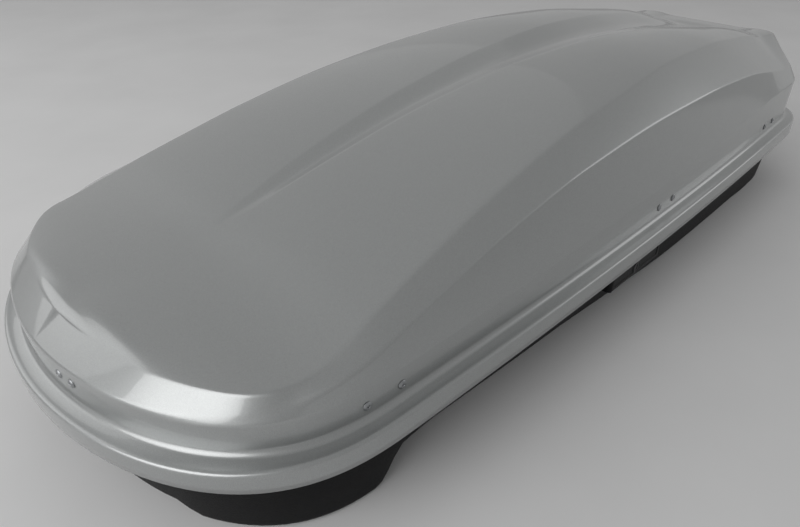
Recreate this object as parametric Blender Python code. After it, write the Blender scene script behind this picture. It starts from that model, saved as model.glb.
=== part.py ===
"""Roof box with a one-side opening lid, modelled closed and unlocked.

Metres, +Z up. +X points to the nose and +Y to the lock side. The origin is on the
ground under the middle of the box, which stands on the pads of its black tray.
The lid turns about a hinge line under its rim on the -Y side.
"""

import math

import bmesh
import bpy
import numpy as np
from mathutils import Matrix, Vector

# Clearances
GAP = 0.0003
RUN_GAP = 0.0008
MERGE = 0.00002

# Plan outline of the rim
LENGTH = 1.90
WIDTH = 0.80
NOSE_LENGTH = LENGTH * 0.331 / 1.90
NOSE_POWER_X = 2.81
NOSE_POWER_Y = 1.94
TAIL_LENGTH = LENGTH * 0.21 / 1.90
TAIL_POWER = 2.6
ARC_TAIL_POWER = 4.0
ARC_TAIL_INSET = 0.050
PANEL_TAIL_POWER = 5.0
PANEL_TAIL_INSET = 0.057
TAPER = WIDTH * 0.056 / 0.80
STATIONS_NOSE = 16
NOSE_SPACING = 1.4
STATIONS_SIDE = 17
STATIONS_TAIL = 8
TAIL_SPACING = 1.6

# Heights of the rim and the tray above the ground
RIM_HEIGHT = 0.140
LID_WALL = 0.0035
TRAY_WALL = 0.0035

# Lid rim section: how far in from the outline, and how far above the skirt's edge
SKIRT_HEIGHT = 0.0325
LEDGE_WIDTH = 0.0288
BAND_FOOT = 0.0395

# Lid curves as (share of the length from the nose, size)
SIDE_CREASE_HEIGHT = [(0.0, 0.080), (0.12, 0.080), (0.17, 0.083), (0.34, 0.090), (0.50, 0.098),
                      (0.68, 0.116), (0.85, 0.126), (1.0, 0.126)]
ARC_CREASE_HEIGHT = [(0.0, 0.088), (0.06, 0.088), (0.075, 0.0885), (0.09, 0.091), (0.10, 0.0945),
                     (0.115, 0.102), (0.137, 0.112), (0.21, 0.141), (0.295, 0.177), (0.395, 0.207),
                     (0.53, 0.222), (0.62, 0.220), (0.737, 0.205), (0.905, 0.152), (0.93, 0.147),
                     (1.0, 0.140)]
ARC_CREASE_INSET = [(0.0, 0.029), (0.02, 0.0295), (0.032, 0.0305), (0.045, 0.032), (0.06, 0.033),
                    (0.078, 0.0345), (0.091, 0.035), (0.108, 0.033), (0.13, 0.0315), (0.21, 0.042),
                    (0.30, 0.050), (0.45, 0.053), (1.0, 0.054)]
PANEL_EDGE_HEIGHT = [(0.0, 0.118), (0.035, 0.117), (0.05, 0.1155), (0.066, 0.113), (0.08, 0.112),
                     (0.092, 0.112), (0.105, 0.1125), (0.119, 0.1155), (0.137, 0.123), (0.184, 0.150),
                     (0.237, 0.177), (0.29, 0.2015), (0.395, 0.237), (0.50, 0.2586), (0.605, 0.2696),
                     (0.71, 0.263), (0.816, 0.2406), (0.87, 0.226), (0.93, 0.203), (1.0, 0.195)]
PANEL_EDGE_INSET = [(0.0, 0.0676), (0.01, 0.0672), (0.0225, 0.0612), (0.035, 0.0575), (0.047, 0.0535),
                    (0.062, 0.048), (0.07, 0.0458), (0.08, 0.0452), (0.093, 0.0485), (0.107, 0.0535),
                    (0.123, 0.060), (0.145, 0.068), (0.184, 0.077), (0.29, 0.096), (0.395, 0.108),
                    (0.50, 0.118), (0.605, 0.131), (0.71, 0.136), (0.816, 0.142), (0.90, 0.146),
                    (1.0, 0.126)]
CREST_HEIGHT = [(0.0, 0.121), (0.08, 0.128), (0.132, 0.137), (0.184, 0.161), (0.237, 0.189),
                (0.29, 0.2136), (0.342, 0.2349), (0.395, 0.2514), (0.50, 0.2734), (0.605, 0.2802),
                (0.71, 0.270), (0.816, 0.247), (0.87, 0.231), (0.93, 0.205), (1.0, 0.196)]
CREST_SPREAD = [(0.0, 0.004), (0.15, 0.006), (0.184, 0.015), (0.237, 0.0243), (0.342, 0.0372),
                (0.50, 0.0555), (0.605, 0.070), (0.71, 0.084), (0.87, 0.104), (1.0, 0.115)]
GROOVE_DEPTH = [(0.0, 0.0), (0.155, 0.0), (0.184, 0.002), (0.237, 0.0075), (0.30, 0.010), (0.42, 0.012),
                (0.60, 0.0155), (0.80, 0.0155), (0.91, 0.008), (0.95, 0.0), (1.0, 0.0)]
PANEL_CROWN = 0.005

# Tray section, from the rim's outline and the ground
TRAY_LIP_INSET = 0.0125
TRAY_LIP_RISE = 0.012
TRAY_WALL_INSET = 0.038
TRAY_FOOT_INSET = 0.050
FLOOR_RADIUS = 0.020
SEAT_X = {"front": LENGTH * 0.20, "rear": -LENGTH * 0.42 / 1.90}
SEAT_HALF_LENGTH = LENGTH * 0.160 / 1.90
SEAT_INNER = WIDTH * 0.165 / 0.80
SEAT_OUTER = WIDTH * 0.250 / 0.80
RECESS_RISE = 0.010
RECESS_SLOPE = 0.014
RECESS_FRONT = LENGTH * 0.585 / 1.90
RECESS_REAR = -LENGTH * 0.700 / 1.90
EDGE_HEIGHT = [(0.0, 0.0), (0.155, 0.0), (0.185, 0.055), (0.24, 0.062), (0.36, 0.054), (0.50, 0.034),
               (0.60, 0.019), (0.80, 0.008), (0.86, 0.0), (1.0, 0.0)]
NOSE_RECESS_HALF = WIDTH * 0.205 / 0.80
NOSE_RECESS_HEIGHT = 0.018

# Seal between the tray's lip and the lid's ledge
SEAL_WIDTH = 0.006
SEAL_SLOPE = 0.0016

# Floor rails and the slots for roof bar clamps
RAIL_WIDTH = 0.050
RAIL_THICKNESS = 0.0025
RAIL_HALF_LENGTH = 0.140
SLOT_LENGTH = 0.150
SLOT_WIDTH = 0.010
SLOT_SPREAD = 0.026

# Stations of the catches, and of the hinges opposite them
STATION_X = {"front": LENGTH * 0.34, "middle": -LENGTH * 0.080 / 1.90,
             "rear": -LENGTH * 0.640 / 1.90}
LOCK_X = LENGTH * 0.020 / 1.90

# Rivets
RIVET_HEAD_RADIUS = 0.0068
RIVET_HEAD_HEIGHT = 0.0024
RIVET_SHANK_RADIUS = 0.0020
RIVET_TAIL_RADIUS = 0.0034
RIVET_TAIL_LENGTH = 0.0020
RIVET_PITCH = 0.056
RIVET_HEIGHT = 0.056
RIVET_SIDES = 10
PIN_SIDES = 12
RIVET_PLAY = 0.0005

# Hinges on the -Y side
HINGE_INSET = 0.012
HINGE_DROP = 0.011
HINGE_WIDTH = 0.044
HINGE_KNUCKLE = 0.018
LEAF_THICKNESS = 0.0016
HINGE_PIN_RADIUS = 0.0025
HINGE_PIN_HEAD = 0.0046
HINGE_SKIRT_LAP = 0.018
HINGE_WALL_LAP = 0.030
HINGE_RIVET_PITCH = 0.026
HINGE_RIVET_HEIGHT = 0.0085
SKIRT_LEAN = 0.0009

# Lid stays, a rhombus of equal arms hung from the hinge line
STAY_X = {"front": LENGTH * 0.400 / 1.90, "rear": -LENGTH * 0.400 / 1.90}
STAY_ARM = 0.130
STAY_RISE = 0.012
STAY_PLATE = 0.003
STAY_ARM_WIDTH = 0.016
STAY_PIN_RADIUS = 0.003
STAY_PIN_HEAD = 0.0052
STAY_FLANGE = 0.030
STAY_LEG_INSET = 0.054

# Locking bar and its bolts on the +Y side
BAR_INSET = 0.068
BAR_THICKNESS = 0.003
BAR_HEIGHT = 0.020
BAR_DROP = 0.014
BAR_HALF_LENGTH = LENGTH * 0.690 / 1.90
BOLT_FINGER = 0.006
BOLT_LENGTH = 0.022
BOLT_REACH = 0.016
BOLT_HEIGHT = 0.009
STRIKER_WEB = 0.006
STRIKER_PAD = 0.006
STRIKER_PAD_HEIGHT = 0.026
PAD_MARGIN = 0.011
STRIKER_WINDOW_CLEARANCE = 0.0016
GUIDE_LENGTH = 0.022
GUIDE_THICKNESS = 0.002
GUIDE_OFFSET = 0.045

# Lock
LOCK_LENGTH = 0.190
LOCK_HEIGHT = 0.044
LOCK_DEPTH = 0.022
LOCK_DROP = 0.006
BARREL_RADIUS = 0.009
BARREL_DROP = 0.036
CRANK_RADIUS = 0.014
CRANK_PIN_RADIUS = 0.002
CRANK_THICKNESS = 0.003
CRANK_WIDTH = 0.012
KEYWAY_DEPTH = 0.004

# Nose guide
NOSE_GUIDE_Y = 0.078
NOSE_GUIDE_PITCH = 0.030
NOSE_RIVET_HEIGHT = 0.070
BOW_PLAY = 0.0011


# Materials

def material(name, colour, roughness, metallic=0.0):
    """A plain Principled material of one colour."""
    finish = bpy.data.materials.new(name)
    finish.use_nodes = True
    shader = finish.node_tree.nodes["Principled BSDF"]
    shader.inputs["Base Color"].default_value = (*colour, 1.0)
    shader.inputs["Roughness"].default_value = roughness
    shader.inputs["Metallic"].default_value = metallic
    finish.diffuse_color = (*colour, 1.0)
    return finish


# Curves and the plan outline

def along(stations, share):
    """Smooth value at a share of the length, through hand-set stations."""
    xs = np.array([station[0] for station in stations])
    ys = np.array([station[1] for station in stations])
    slopes = np.diff(ys) / np.diff(xs)
    tangents = np.zeros(len(xs))
    for i in range(1, len(xs) - 1):
        if slopes[i - 1] * slopes[i] > 0.0:
            tangents[i] = 2.0 / (1.0 / slopes[i - 1] + 1.0 / slopes[i])
    share = min(max(share, xs[0]), xs[-1])
    i = min(int(np.searchsorted(xs, share, side="right")) - 1, len(xs) - 2)
    step = xs[i + 1] - xs[i]
    t = (share - xs[i]) / step
    value = (2 * t**3 - 3 * t**2 + 1) * ys[i] + (t**3 - 2 * t**2 + t) * step * tangents[i]
    value += (3 * t**2 - 2 * t**3) * ys[i + 1] + (t**3 - t**2) * step * tangents[i + 1]
    return float(value)


def share_at(x):
    """Share of the length from the nose at a place along X."""
    return (LENGTH / 2 - x) / LENGTH


def half_width(x):
    """Half the rim's width along the sides, wide at the nose and drawn in to the tail."""
    nose_end = LENGTH / 2 - NOSE_LENGTH
    if x >= nose_end:
        return WIDTH / 2
    run = (nose_end - x) / (nose_end + LENGTH / 2 - TAIL_LENGTH)
    return WIDTH / 2 - TAPER * run**2


def station_angles():
    """The stations round one half of the outline, from the nose to the tail."""
    nose_steps = [(1 - i / STATIONS_NOSE) ** NOSE_SPACING for i in range(STATIONS_NOSE)]
    places = [("nose", math.pi / 2 * (1 - step)) for step in nose_steps]
    places += [("side", i / STATIONS_SIDE) for i in range(STATIONS_SIDE)]
    tail_steps = [(i / STATIONS_TAIL) ** TAIL_SPACING for i in range(STATIONS_TAIL + 1)]
    places += [("tail", math.pi / 2 * (1 - step)) for step in tail_steps]
    return places


def outline_point(place, inset, tail_inset=None, tail_power=TAIL_POWER):
    """A point of the outline at one station, moved in by an inset, or by its own at the tail's end."""
    zone, value = place
    nose_end = LENGTH / 2 - NOSE_LENGTH
    tail_end = -LENGTH / 2 + TAIL_LENGTH
    if zone == "nose":
        x = nose_end + (NOSE_LENGTH - inset) * math.cos(value) ** (2 / NOSE_POWER_X)
        y = (WIDTH / 2 - inset) * math.sin(value) ** (2 / NOSE_POWER_Y)
    elif zone == "side":
        x = nose_end + (tail_end - nose_end) * value
        y = half_width(x) - inset
    else:
        reach = TAIL_LENGTH - (inset if tail_inset is None else tail_inset)
        x = tail_end - reach * abs(math.cos(value)) ** (2 / tail_power)
        y = (half_width(x) - inset) * math.sin(value) ** (2 / tail_power)
    return x, y


def wall_half(x, inset=0.0):
    """Half the width between the walls at a place along X, at an inset from the rim."""
    nose_end = LENGTH / 2 - NOSE_LENGTH
    tail_end = -LENGTH / 2 + TAIL_LENGTH
    if x > nose_end:
        share = min((x - nose_end) / (NOSE_LENGTH - inset), 1.0)
        return (WIDTH / 2 - inset) * (1 - share**NOSE_POWER_X) ** (1 / NOSE_POWER_Y)
    if x < tail_end:
        share = min((tail_end - x) / (TAIL_LENGTH - inset), 1.0)
        return (half_width(x) - inset) * (1 - share**TAIL_POWER) ** (1 / TAIL_POWER)
    return half_width(x) - inset


# Objects and solids

def keep(name, mesh, finish, matrix=None):
    """Put a mesh in the scene as one named piece."""
    mesh.materials.clear()
    mesh.materials.append(finish)
    piece = bpy.data.objects.new(name, mesh)
    if matrix is not None:
        piece.matrix_world = matrix
    bpy.context.scene.collection.objects.link(piece)
    return piece


def mesh_from(bm, name):
    """Write a bmesh to a mesh with outward faces."""
    bmesh.ops.recalc_face_normals(bm, faces=bm.faces)
    mesh = bpy.data.meshes.new(name)
    bm.to_mesh(mesh)
    bm.free()
    return mesh


def combine(target, tool, operation):
    """Cut a tool from a target, or join it on."""
    tool.hide_render = True
    tool.display_type = "WIRE"
    step = target.modifiers.new(operation.title(), "BOOLEAN")
    step.operation = operation
    step.solver = "EXACT"
    step.object = tool


def box_mesh(name, low, high):
    """A box between two corners."""
    bm = bmesh.new()
    bmesh.ops.create_cube(bm, size=1.0)
    size = Vector(high) - Vector(low)
    bmesh.ops.scale(bm, vec=size, verts=bm.verts)
    bmesh.ops.translate(bm, vec=(Vector(high) + Vector(low)) / 2, verts=bm.verts)
    return mesh_from(bm, name)


def prism_mesh(name, points, direction):
    """A flat outline pushed along a direction."""
    bm = bmesh.new()
    face = bm.faces.new([bm.verts.new(point) for point in points])
    pushed = bmesh.ops.extrude_face_region(bm, geom=[face])
    moved = [item for item in pushed["geom"] if isinstance(item, bmesh.types.BMVert)]
    bmesh.ops.translate(bm, vec=direction, verts=moved)
    return mesh_from(bm, name)


def turned_mesh(name, profile, sides):
    """A profile of (radius, height) points turned about Z."""
    bm = bmesh.new()
    chain = [bm.verts.new((radius, 0.0, height)) for radius, height in profile]
    edges = [bm.edges.new(pair) for pair in zip(chain[:-1], chain[1:])]
    bmesh.ops.spin(bm, geom=chain + edges, cent=(0, 0, 0), axis=(0, 0, 1), angle=math.tau, steps=sides,
                   use_merge=True)
    bmesh.ops.remove_doubles(bm, verts=bm.verts, dist=MERGE)
    return mesh_from(bm, name)


def strip_outline(path, thickness):
    """The outline of a bent sheet: a path of (y, z) points given a thickness."""
    points = [Vector(point) for point in path]
    left = []
    right = []
    for i, point in enumerate(points):
        before = (point - points[i - 1]).normalized() if i > 0 else None
        after = (points[i + 1] - point).normalized() if i < len(points) - 1 else None
        ahead = ((before or after) + (after or before)).normalized()
        side = Vector((-ahead.y, ahead.x))
        reach = thickness / 2 / max(side.dot(Vector((-(before or after).y, (before or after).x))), 0.5)
        left.append(point + side * reach)
        right.append(point - side * reach)
    return left + right[::-1]


def strip_mesh(name, path, thickness, width):
    """A bent sheet with its path in the YZ plane, centred along X."""
    points = [(-width / 2, point.x, point.y) for point in strip_outline(path, thickness)]
    return prism_mesh(name, points, (width, 0.0, 0.0))


# Lid shell

def panel_height(zone, x, y, edge_y):
    """Height of the top panel above the rim, from its edge over the crest and down into the groove."""
    share = share_at(x)
    edge_z = along(PANEL_EDGE_HEIGHT, share)
    crest_z = along(CREST_HEIGHT, share)
    spread = min(along(CREST_SPREAD, share), edge_y * 0.6)
    if zone == "tail":
        edge_y = half_width(x) - along(PANEL_EDGE_INSET, share)
    elif edge_y < 0.12:
        crest_z = edge_z + (crest_z - edge_z) * edge_y / 0.12
    if y < spread:
        fall = float(np.interp(y / spread, [0.0, 0.45, 1.0], [1.0, 0.62, 0.0]))
        return crest_z - fall * along(GROOVE_DEPTH, share)
    step = min((edge_y - y) / max(edge_y - spread, MERGE), 1.0)
    crown = PANEL_CROWN * 4 * step * (1 - step) * min(edge_y / 0.2, 1.0)
    return edge_z + (crest_z - edge_z) * step + crown


def lid_section(place):
    """The lid's outer section at one station, from the skirt's edge to the centre line."""
    rim_x, rim_y = outline_point(place, 0.0)
    share = share_at(rim_x)
    ledge = LEDGE_WIDTH
    rings = [(0.0, 0.0), (0.0004, 0.020), (0.0018, 0.028), (0.0064, SKIRT_HEIGHT),
             (0.012, SKIRT_HEIGHT + 0.001), (0.019, SKIRT_HEIGHT), (ledge - 0.003, SKIRT_HEIGHT + 0.002),
             (ledge, BAND_FOOT)]
    section = [(*outline_point(place, inset), height) for inset, height in rings]
    side_inset = ledge - 0.0003
    side_x, side_y = outline_point(place, side_inset)
    section.append((side_x, side_y, along(SIDE_CREASE_HEIGHT, share_at(side_x))))
    arc_inset = along(ARC_CREASE_INSET, share)
    arc_x, arc_y = outline_point(place, arc_inset, ARC_TAIL_INSET, ARC_TAIL_POWER)
    arc_share = share if place[0] == "side" else share_at(arc_x)
    section.append((arc_x, arc_y, along(ARC_CREASE_HEIGHT, arc_share)))
    edge_inset = along(PANEL_EDGE_INSET, share)
    edge_x, edge_y = outline_point(place, edge_inset, PANEL_TAIL_INSET, PANEL_TAIL_POWER)
    spread = min(along(CREST_SPREAD, share_at(edge_x)), edge_y * 0.6)
    levels = [edge_y + (spread - edge_y) * step for step in (0.0, 0.2, 0.4, 0.6, 0.8, 1.0)]
    levels += [spread * 0.45, 0.0]
    section += [(edge_x, y, panel_height(place[0], edge_x, y, edge_y)) for y in levels]
    return [(x, y, RIM_HEIGHT + z) for x, y, z in section]


def shell_from_sections(name, sections):
    """A mirrored sheet laid through half sections, with its faces turned away from the rim's level."""
    rows = len(sections)
    columns = len(sections[0])
    bm = bmesh.new()
    bmesh.ops.create_grid(bm, x_segments=rows - 1, y_segments=columns - 1, size=0.5)
    for vert in bm.verts:
        row = round((vert.co.x + 0.5) * (rows - 1))
        column = round((vert.co.y + 0.5) * (columns - 1))
        vert.co = Vector(sections[row][column])
    bmesh.ops.mirror(bm, geom=bm.verts[:] + bm.edges[:] + bm.faces[:], axis="Y", merge_dist=MERGE)
    bmesh.ops.remove_doubles(bm, verts=bm.verts, dist=MERGE)
    bmesh.ops.dissolve_degenerate(bm, edges=bm.edges, dist=MERGE)
    bmesh.ops.recalc_face_normals(bm, faces=bm.faces)
    middle = max(bm.faces, key=lambda face: abs(face.calc_center_median().z - RIM_HEIGHT))
    if middle.normal.z * (middle.calc_center_median().z - RIM_HEIGHT) < 0.0:
        bmesh.ops.reverse_faces(bm, faces=bm.faces)
    mesh = bpy.data.meshes.new(name)
    bm.to_mesh(mesh)
    bm.free()
    return mesh


def add_wall(piece, thickness):
    """Thicken a sheet inwards."""
    wall = piece.modifiers.new("Wall", "SOLIDIFY")
    wall.thickness = thickness
    wall.offset = -1.0
    wall.use_even_offset = False
    wall.use_rim = True


def make_lid(finish):
    """The lid as one moulded shell with its rim, chamfers and centre groove."""
    sections = [lid_section(place) for place in station_angles()]
    mesh = shell_from_sections("lid_shell", sections)
    lid = keep("lid_shell", mesh, finish)
    add_wall(lid, LID_WALL)
    return lid


# Tray shell

def smooth_step(value, start, end):
    """A soft rise from 0 at start to 1 at end."""
    share = min(max((value - start) / (end - start), 0.0), 1.0)
    return share * share * (3 - 2 * share)


def foot_height(x):
    """Underside of the tray's foot above the ground, straight where it sits on a roof bar."""
    for seat in SEAT_X.values():
        if abs(x - seat) < SEAT_HALF_LENGTH:
            return seat_line(seat, x)
    return along(EDGE_HEIGHT, share_at(x))


def seat_line(seat, x):
    """Height of the straight line under one roof bar seat."""
    rear = along(EDGE_HEIGHT, share_at(seat - SEAT_HALF_LENGTH))
    front = along(EDGE_HEIGHT, share_at(seat + SEAT_HALF_LENGTH))
    return rear + (front - rear) * (x - seat + SEAT_HALF_LENGTH) / (2 * SEAT_HALF_LENGTH)


def floor_height(x, y):
    """Underside of the tray above the ground, raised along the middle."""
    nose = smooth_step(x, RECESS_FRONT + 0.08, RECESS_FRONT + 0.14)
    body = smooth_step(x, RECESS_REAR - 0.05, RECESS_REAR)
    body *= 1 - smooth_step(x, RECESS_FRONT, RECESS_FRONT + 0.08)
    edge_of_recess = SEAT_INNER + (NOSE_RECESS_HALF - SEAT_INNER) * nose
    inside = 1 - smooth_step(abs(y), edge_of_recess - RECESS_SLOPE, edge_of_recess)
    return foot_height(x) + (RECESS_RISE * body + NOSE_RECESS_HEIGHT * nose) * inside


def tray_section(place):
    """The tray's outer section at one station, from its lip to the centre line."""
    wall_x, wall_y = outline_point(place, TRAY_WALL_INSET)
    foot_x, foot_y = outline_point(place, TRAY_FOOT_INSET)
    edge_z = floor_height(foot_x, foot_y)
    section = [(*outline_point(place, TRAY_LIP_INSET), RIM_HEIGHT + TRAY_LIP_RISE),
               (*outline_point(place, TRAY_LIP_INSET + 0.0005), RIM_HEIGHT + 0.001),
               (*outline_point(place, TRAY_WALL_INSET - 0.001), RIM_HEIGHT + 0.001),
               (wall_x, wall_y, RIM_HEIGHT - 0.003),
               (*outline_point(place, (TRAY_WALL_INSET + TRAY_FOOT_INSET) / 2 - 0.002),
                (RIM_HEIGHT + edge_z + FLOOR_RADIUS) / 2),
               (foot_x, foot_y, edge_z + FLOOR_RADIUS),
               (*outline_point(place, TRAY_FOOT_INSET + 0.3 * FLOOR_RADIUS), edge_z + 0.3 * FLOOR_RADIUS)]
    inner_x, inner_y = outline_point(place, TRAY_FOOT_INSET + FLOOR_RADIUS)
    reach = wall_half(RECESS_REAR) - TRAY_FOOT_INSET - FLOOR_RADIUS
    shrink = min(inner_y / reach, 1.0)
    columns = [max(inner_y, 0.0), SEAT_OUTER * shrink, NOSE_RECESS_HALF * shrink, SEAT_INNER * shrink,
               (SEAT_INNER - RECESS_SLOPE) * shrink, 0.07 * shrink, 0.0]
    for y in columns:
        section.append((inner_x, y, floor_height(inner_x, y)))
    return section


def make_tray(finish):
    """The tray as one shell with its lip, walls, resting pads and seats for roof bars."""
    sections = [tray_section(place) for place in station_angles()]
    mesh = shell_from_sections("tray_shell", sections)
    tray = keep("tray_shell", mesh, finish)
    add_wall(tray, TRAY_WALL)
    return tray


# Straight frames along the two sides

def chord_ends():
    """The rim's half widths at the front and rear stations."""
    return wall_half(STATION_X["front"]), wall_half(STATION_X["rear"])


def chord_slant():
    """How far the straight line through the end stations turns from the X axis."""
    front, rear = chord_ends()
    return math.atan2(front - rear, STATION_X["front"] - STATION_X["rear"])


def side_frame(side):
    """A frame on the rim's chord: +Y points into the box, +Z up, side +1 at +Y or -1 at -Y."""
    front, rear = chord_ends()
    middle_x = (STATION_X["front"] + STATION_X["rear"]) / 2
    turn = math.pi + chord_slant() if side > 0 else -chord_slant()
    return Matrix.Translation((middle_x, side * (front + rear) / 2, 0.0)) @ Matrix.Rotation(turn, 4, "Z")


def local_x(side, x):
    """A place along X, measured along the chord of one side."""
    middle_x = (STATION_X["front"] + STATION_X["rear"]) / 2
    return -side * (x - middle_x) / math.cos(chord_slant())


def wall_depth(x, inset):
    """Depth of a wall from the chord at a place along X."""
    front, rear = chord_ends()
    share = (x - STATION_X["rear"]) / (STATION_X["front"] - STATION_X["rear"])
    return (rear + (front - rear) * share - wall_half(x, inset)) * math.cos(chord_slant())


def depth_inside(x, width, inset):
    """Depth from the chord that clears the inner side of a wall over a width."""
    return max(wall_depth(x + step * width / 2, inset) for step in (-1, -0.5, 0, 0.5, 1))


def depth_outside(x, width, inset):
    """Depth from the chord that clears the outer side of a wall over a width."""
    return min(wall_depth(x + step * width / 2, inset) for step in (-1, -0.5, 0, 0.5, 1))


def tray_inset(x, height):
    """Inset of the tray's outer wall at a height."""
    edge = foot_height(x)
    middle_inset = (TRAY_WALL_INSET + TRAY_FOOT_INSET) / 2 - 0.002
    heights = [edge + FLOOR_RADIUS, (RIM_HEIGHT + edge + FLOOR_RADIUS) / 2, RIM_HEIGHT - 0.003]
    return float(np.interp(height, heights, [TRAY_FOOT_INSET, middle_inset, TRAY_WALL_INSET]))


def tray_clear(x, width, height):
    """Depth from the chord that clears the tray's inner wall down to a height."""
    return depth_inside(x, width, tray_inset(x, height) + TRAY_WALL * 1.06) + GAP


def pivot(name, matrix):
    """An empty on a joint's axis."""
    empty = bpy.data.objects.new(name, None)
    empty.matrix_world = matrix
    bpy.context.scene.collection.objects.link(empty)
    return empty


def attach(piece, carrier, matrix):
    """Make a piece turn with an empty and stay where it is."""
    piece.parent = carrier
    piece.matrix_parent_inverse = matrix.inverted()


# Fasteners

def rivet_mesh(name, grip):
    """A dome rivet whose head sits on z = 0, with its tail below the grip."""
    radius = RIVET_HEAD_RADIUS
    height = RIVET_HEAD_HEIGHT
    profile = [(0.0, -grip - RIVET_TAIL_LENGTH), (RIVET_TAIL_RADIUS, -grip - RIVET_TAIL_LENGTH),
               (RIVET_TAIL_RADIUS, -grip - 2 * GAP), (RIVET_SHANK_RADIUS, -grip - 2 * GAP),
               (RIVET_SHANK_RADIUS, 0.0), (radius, 0.0), (radius * 0.94, height * 0.40),
               (radius * 0.62, height * 0.86), (RIVET_SHANK_RADIUS, height),
               (RIVET_SHANK_RADIUS * 0.8, height * 0.7), (0.0, height * 0.7)]
    return turned_mesh(name, profile, RIVET_SIDES)


def outward_frame(point, inward_angle):
    """A frame whose +Z points out of the box, level, at a point."""
    outward = Matrix.Rotation(inward_angle + math.pi, 4, "Z") @ Matrix.Rotation(math.pi / 2, 4, "Y")
    return Matrix.Translation(point) @ outward


def side_rivets(prefix, side, x, pitch, inset, height, inner_face):
    """Two rivets through the lid and a part whose inner face lies at a depth from the chord."""
    spots = []
    for end, step in (("a", 0.5), ("b", -0.5)):
        place_x = x + step * pitch
        slope = math.atan2(wall_half(place_x + 0.01, inset) - wall_half(place_x - 0.01, inset), 0.02)
        inward = side * (slope - math.pi / 2)
        out = Vector((math.cos(inward), math.sin(inward), 0.0)) * -RIVET_PLAY
        face = Vector((place_x, side * wall_half(place_x, inset), height))
        grip = inner_face - wall_depth(place_x, inset) + 2 * RIVET_PLAY
        spots.append((f"{prefix}_{end}", outward_frame(face + out, inward), grip))
    return spots


def nose_spot(y, inset):
    """A point on the lid's nose at a place along Y, and the way inwards there."""
    points = [Vector(outline_point(place, inset)) for place in station_angles()[:STATIONS_NOSE]]
    after = next(i for i, point in enumerate(points) if point.y >= y)
    start = points[after - 1]
    end = points[after]
    point = start.lerp(end, (y - start.y) / (end.y - start.y))
    along_edge = end - start
    return point, math.atan2(along_edge.y, along_edge.x) + math.pi / 2


def nose_rivets():
    """The two rivets of the nose guide."""
    point, inward = nose_spot(NOSE_GUIDE_Y, LEDGE_WIDTH)
    tangent = Vector((math.cos(inward - math.pi / 2), math.sin(inward - math.pi / 2)))
    out = -Vector((math.cos(inward), math.sin(inward))) * RIVET_PLAY
    grip = LID_WALL + BOW_PLAY + GUIDE_THICKNESS + 2 * RIVET_PLAY
    spots = []
    for end, step in (("a", -0.5), ("b", 0.5)):
        spot = point + tangent * NOSE_GUIDE_PITCH * step + out
        frame = outward_frame((spot.x, spot.y, RIM_HEIGHT + NOSE_RIVET_HEIGHT), inward)
        spots.append((f"nose_rivet_{end}", frame, grip))
    return spots


def rivet_spots():
    """Every rivet through the lid: its name, its frame and its grip."""
    spots = nose_rivets()
    for name, x in STATION_X.items():
        spots += side_rivets(f"striker_rivet_{name}", 1, x, RIVET_PITCH, LEDGE_WIDTH,
                             RIM_HEIGHT + RIVET_HEIGHT, pad_depth(x) + STRIKER_PAD)
        spots += side_rivets(f"hinge_rivet_{name}", -1, x, HINGE_RIVET_PITCH, 0.0,
                             RIM_HEIGHT + HINGE_RIVET_HEIGHT, skirt_depth(x) + LEAF_THICKNESS)
    return spots


def pad_depth(x):
    """Depth of a striker pad's outer face from the chord."""
    return depth_inside(x, RIVET_PITCH + 2 * PAD_MARGIN, LEDGE_WIDTH + LID_WALL) + GAP


def skirt_depth(x):
    """Depth of a hinge leaf's outer face on the skirt from the chord."""
    return depth_inside(x, HINGE_WIDTH, LID_WALL + SKIRT_LEAN) + GAP


def rivet_drills(spots):
    """One cutter with a drill for each rivet."""
    bm = bmesh.new()
    for _, frame, grip in spots:
        length = grip + RIVET_TAIL_LENGTH + 0.004
        matrix = frame @ Matrix.Translation((0, 0, 0.004 - length / 2))
        bmesh.ops.create_cone(bm, cap_ends=True, segments=RIVET_SIDES, radius1=RIVET_SHANK_RADIUS + 2 * GAP,
                              radius2=RIVET_SHANK_RADIUS + 2 * GAP, depth=length, matrix=matrix)
    return mesh_from(bm, "rivet_drills")


def cylinder_x(name, radius, start, end):
    """A round bar on the X axis between two places."""
    bm = bmesh.new()
    matrix = Matrix.Translation(((start + end) / 2, 0, 0)) @ Matrix.Rotation(math.pi / 2, 4, "Y")
    bmesh.ops.create_cone(bm, cap_ends=True, segments=PIN_SIDES, radius1=radius, radius2=radius,
                          depth=end - start, matrix=matrix)
    return mesh_from(bm, name)


def pin_mesh(name, radius, head, length):
    """A pin along X with a head at both ends of its length."""
    thick = 0.0015
    half = length / 2
    profile = [(0.0, -half - thick), (head, -half - thick), (head, -half), (radius, -half),
               (radius, half), (head, half), (head, half + thick), (0.0, half + thick)]
    mesh = turned_mesh(name, profile, PIN_SIDES)
    mesh.transform(Matrix.Rotation(math.pi / 2, 4, "Y"))
    return mesh


def stadium(length, width, steps=6):
    """The outline of a bar with round ends, centred on its first eye, along +X."""
    points = []
    for i in range(steps + 1):
        angle = math.pi / 2 + math.pi * i / steps
        points.append((width / 2 * math.cos(angle), width / 2 * math.sin(angle)))
    for i in range(steps + 1):
        angle = -math.pi / 2 + math.pi * i / steps
        points.append((length + width / 2 * math.cos(angle), width / 2 * math.sin(angle)))
    return points


# Seal and floor rails

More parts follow.
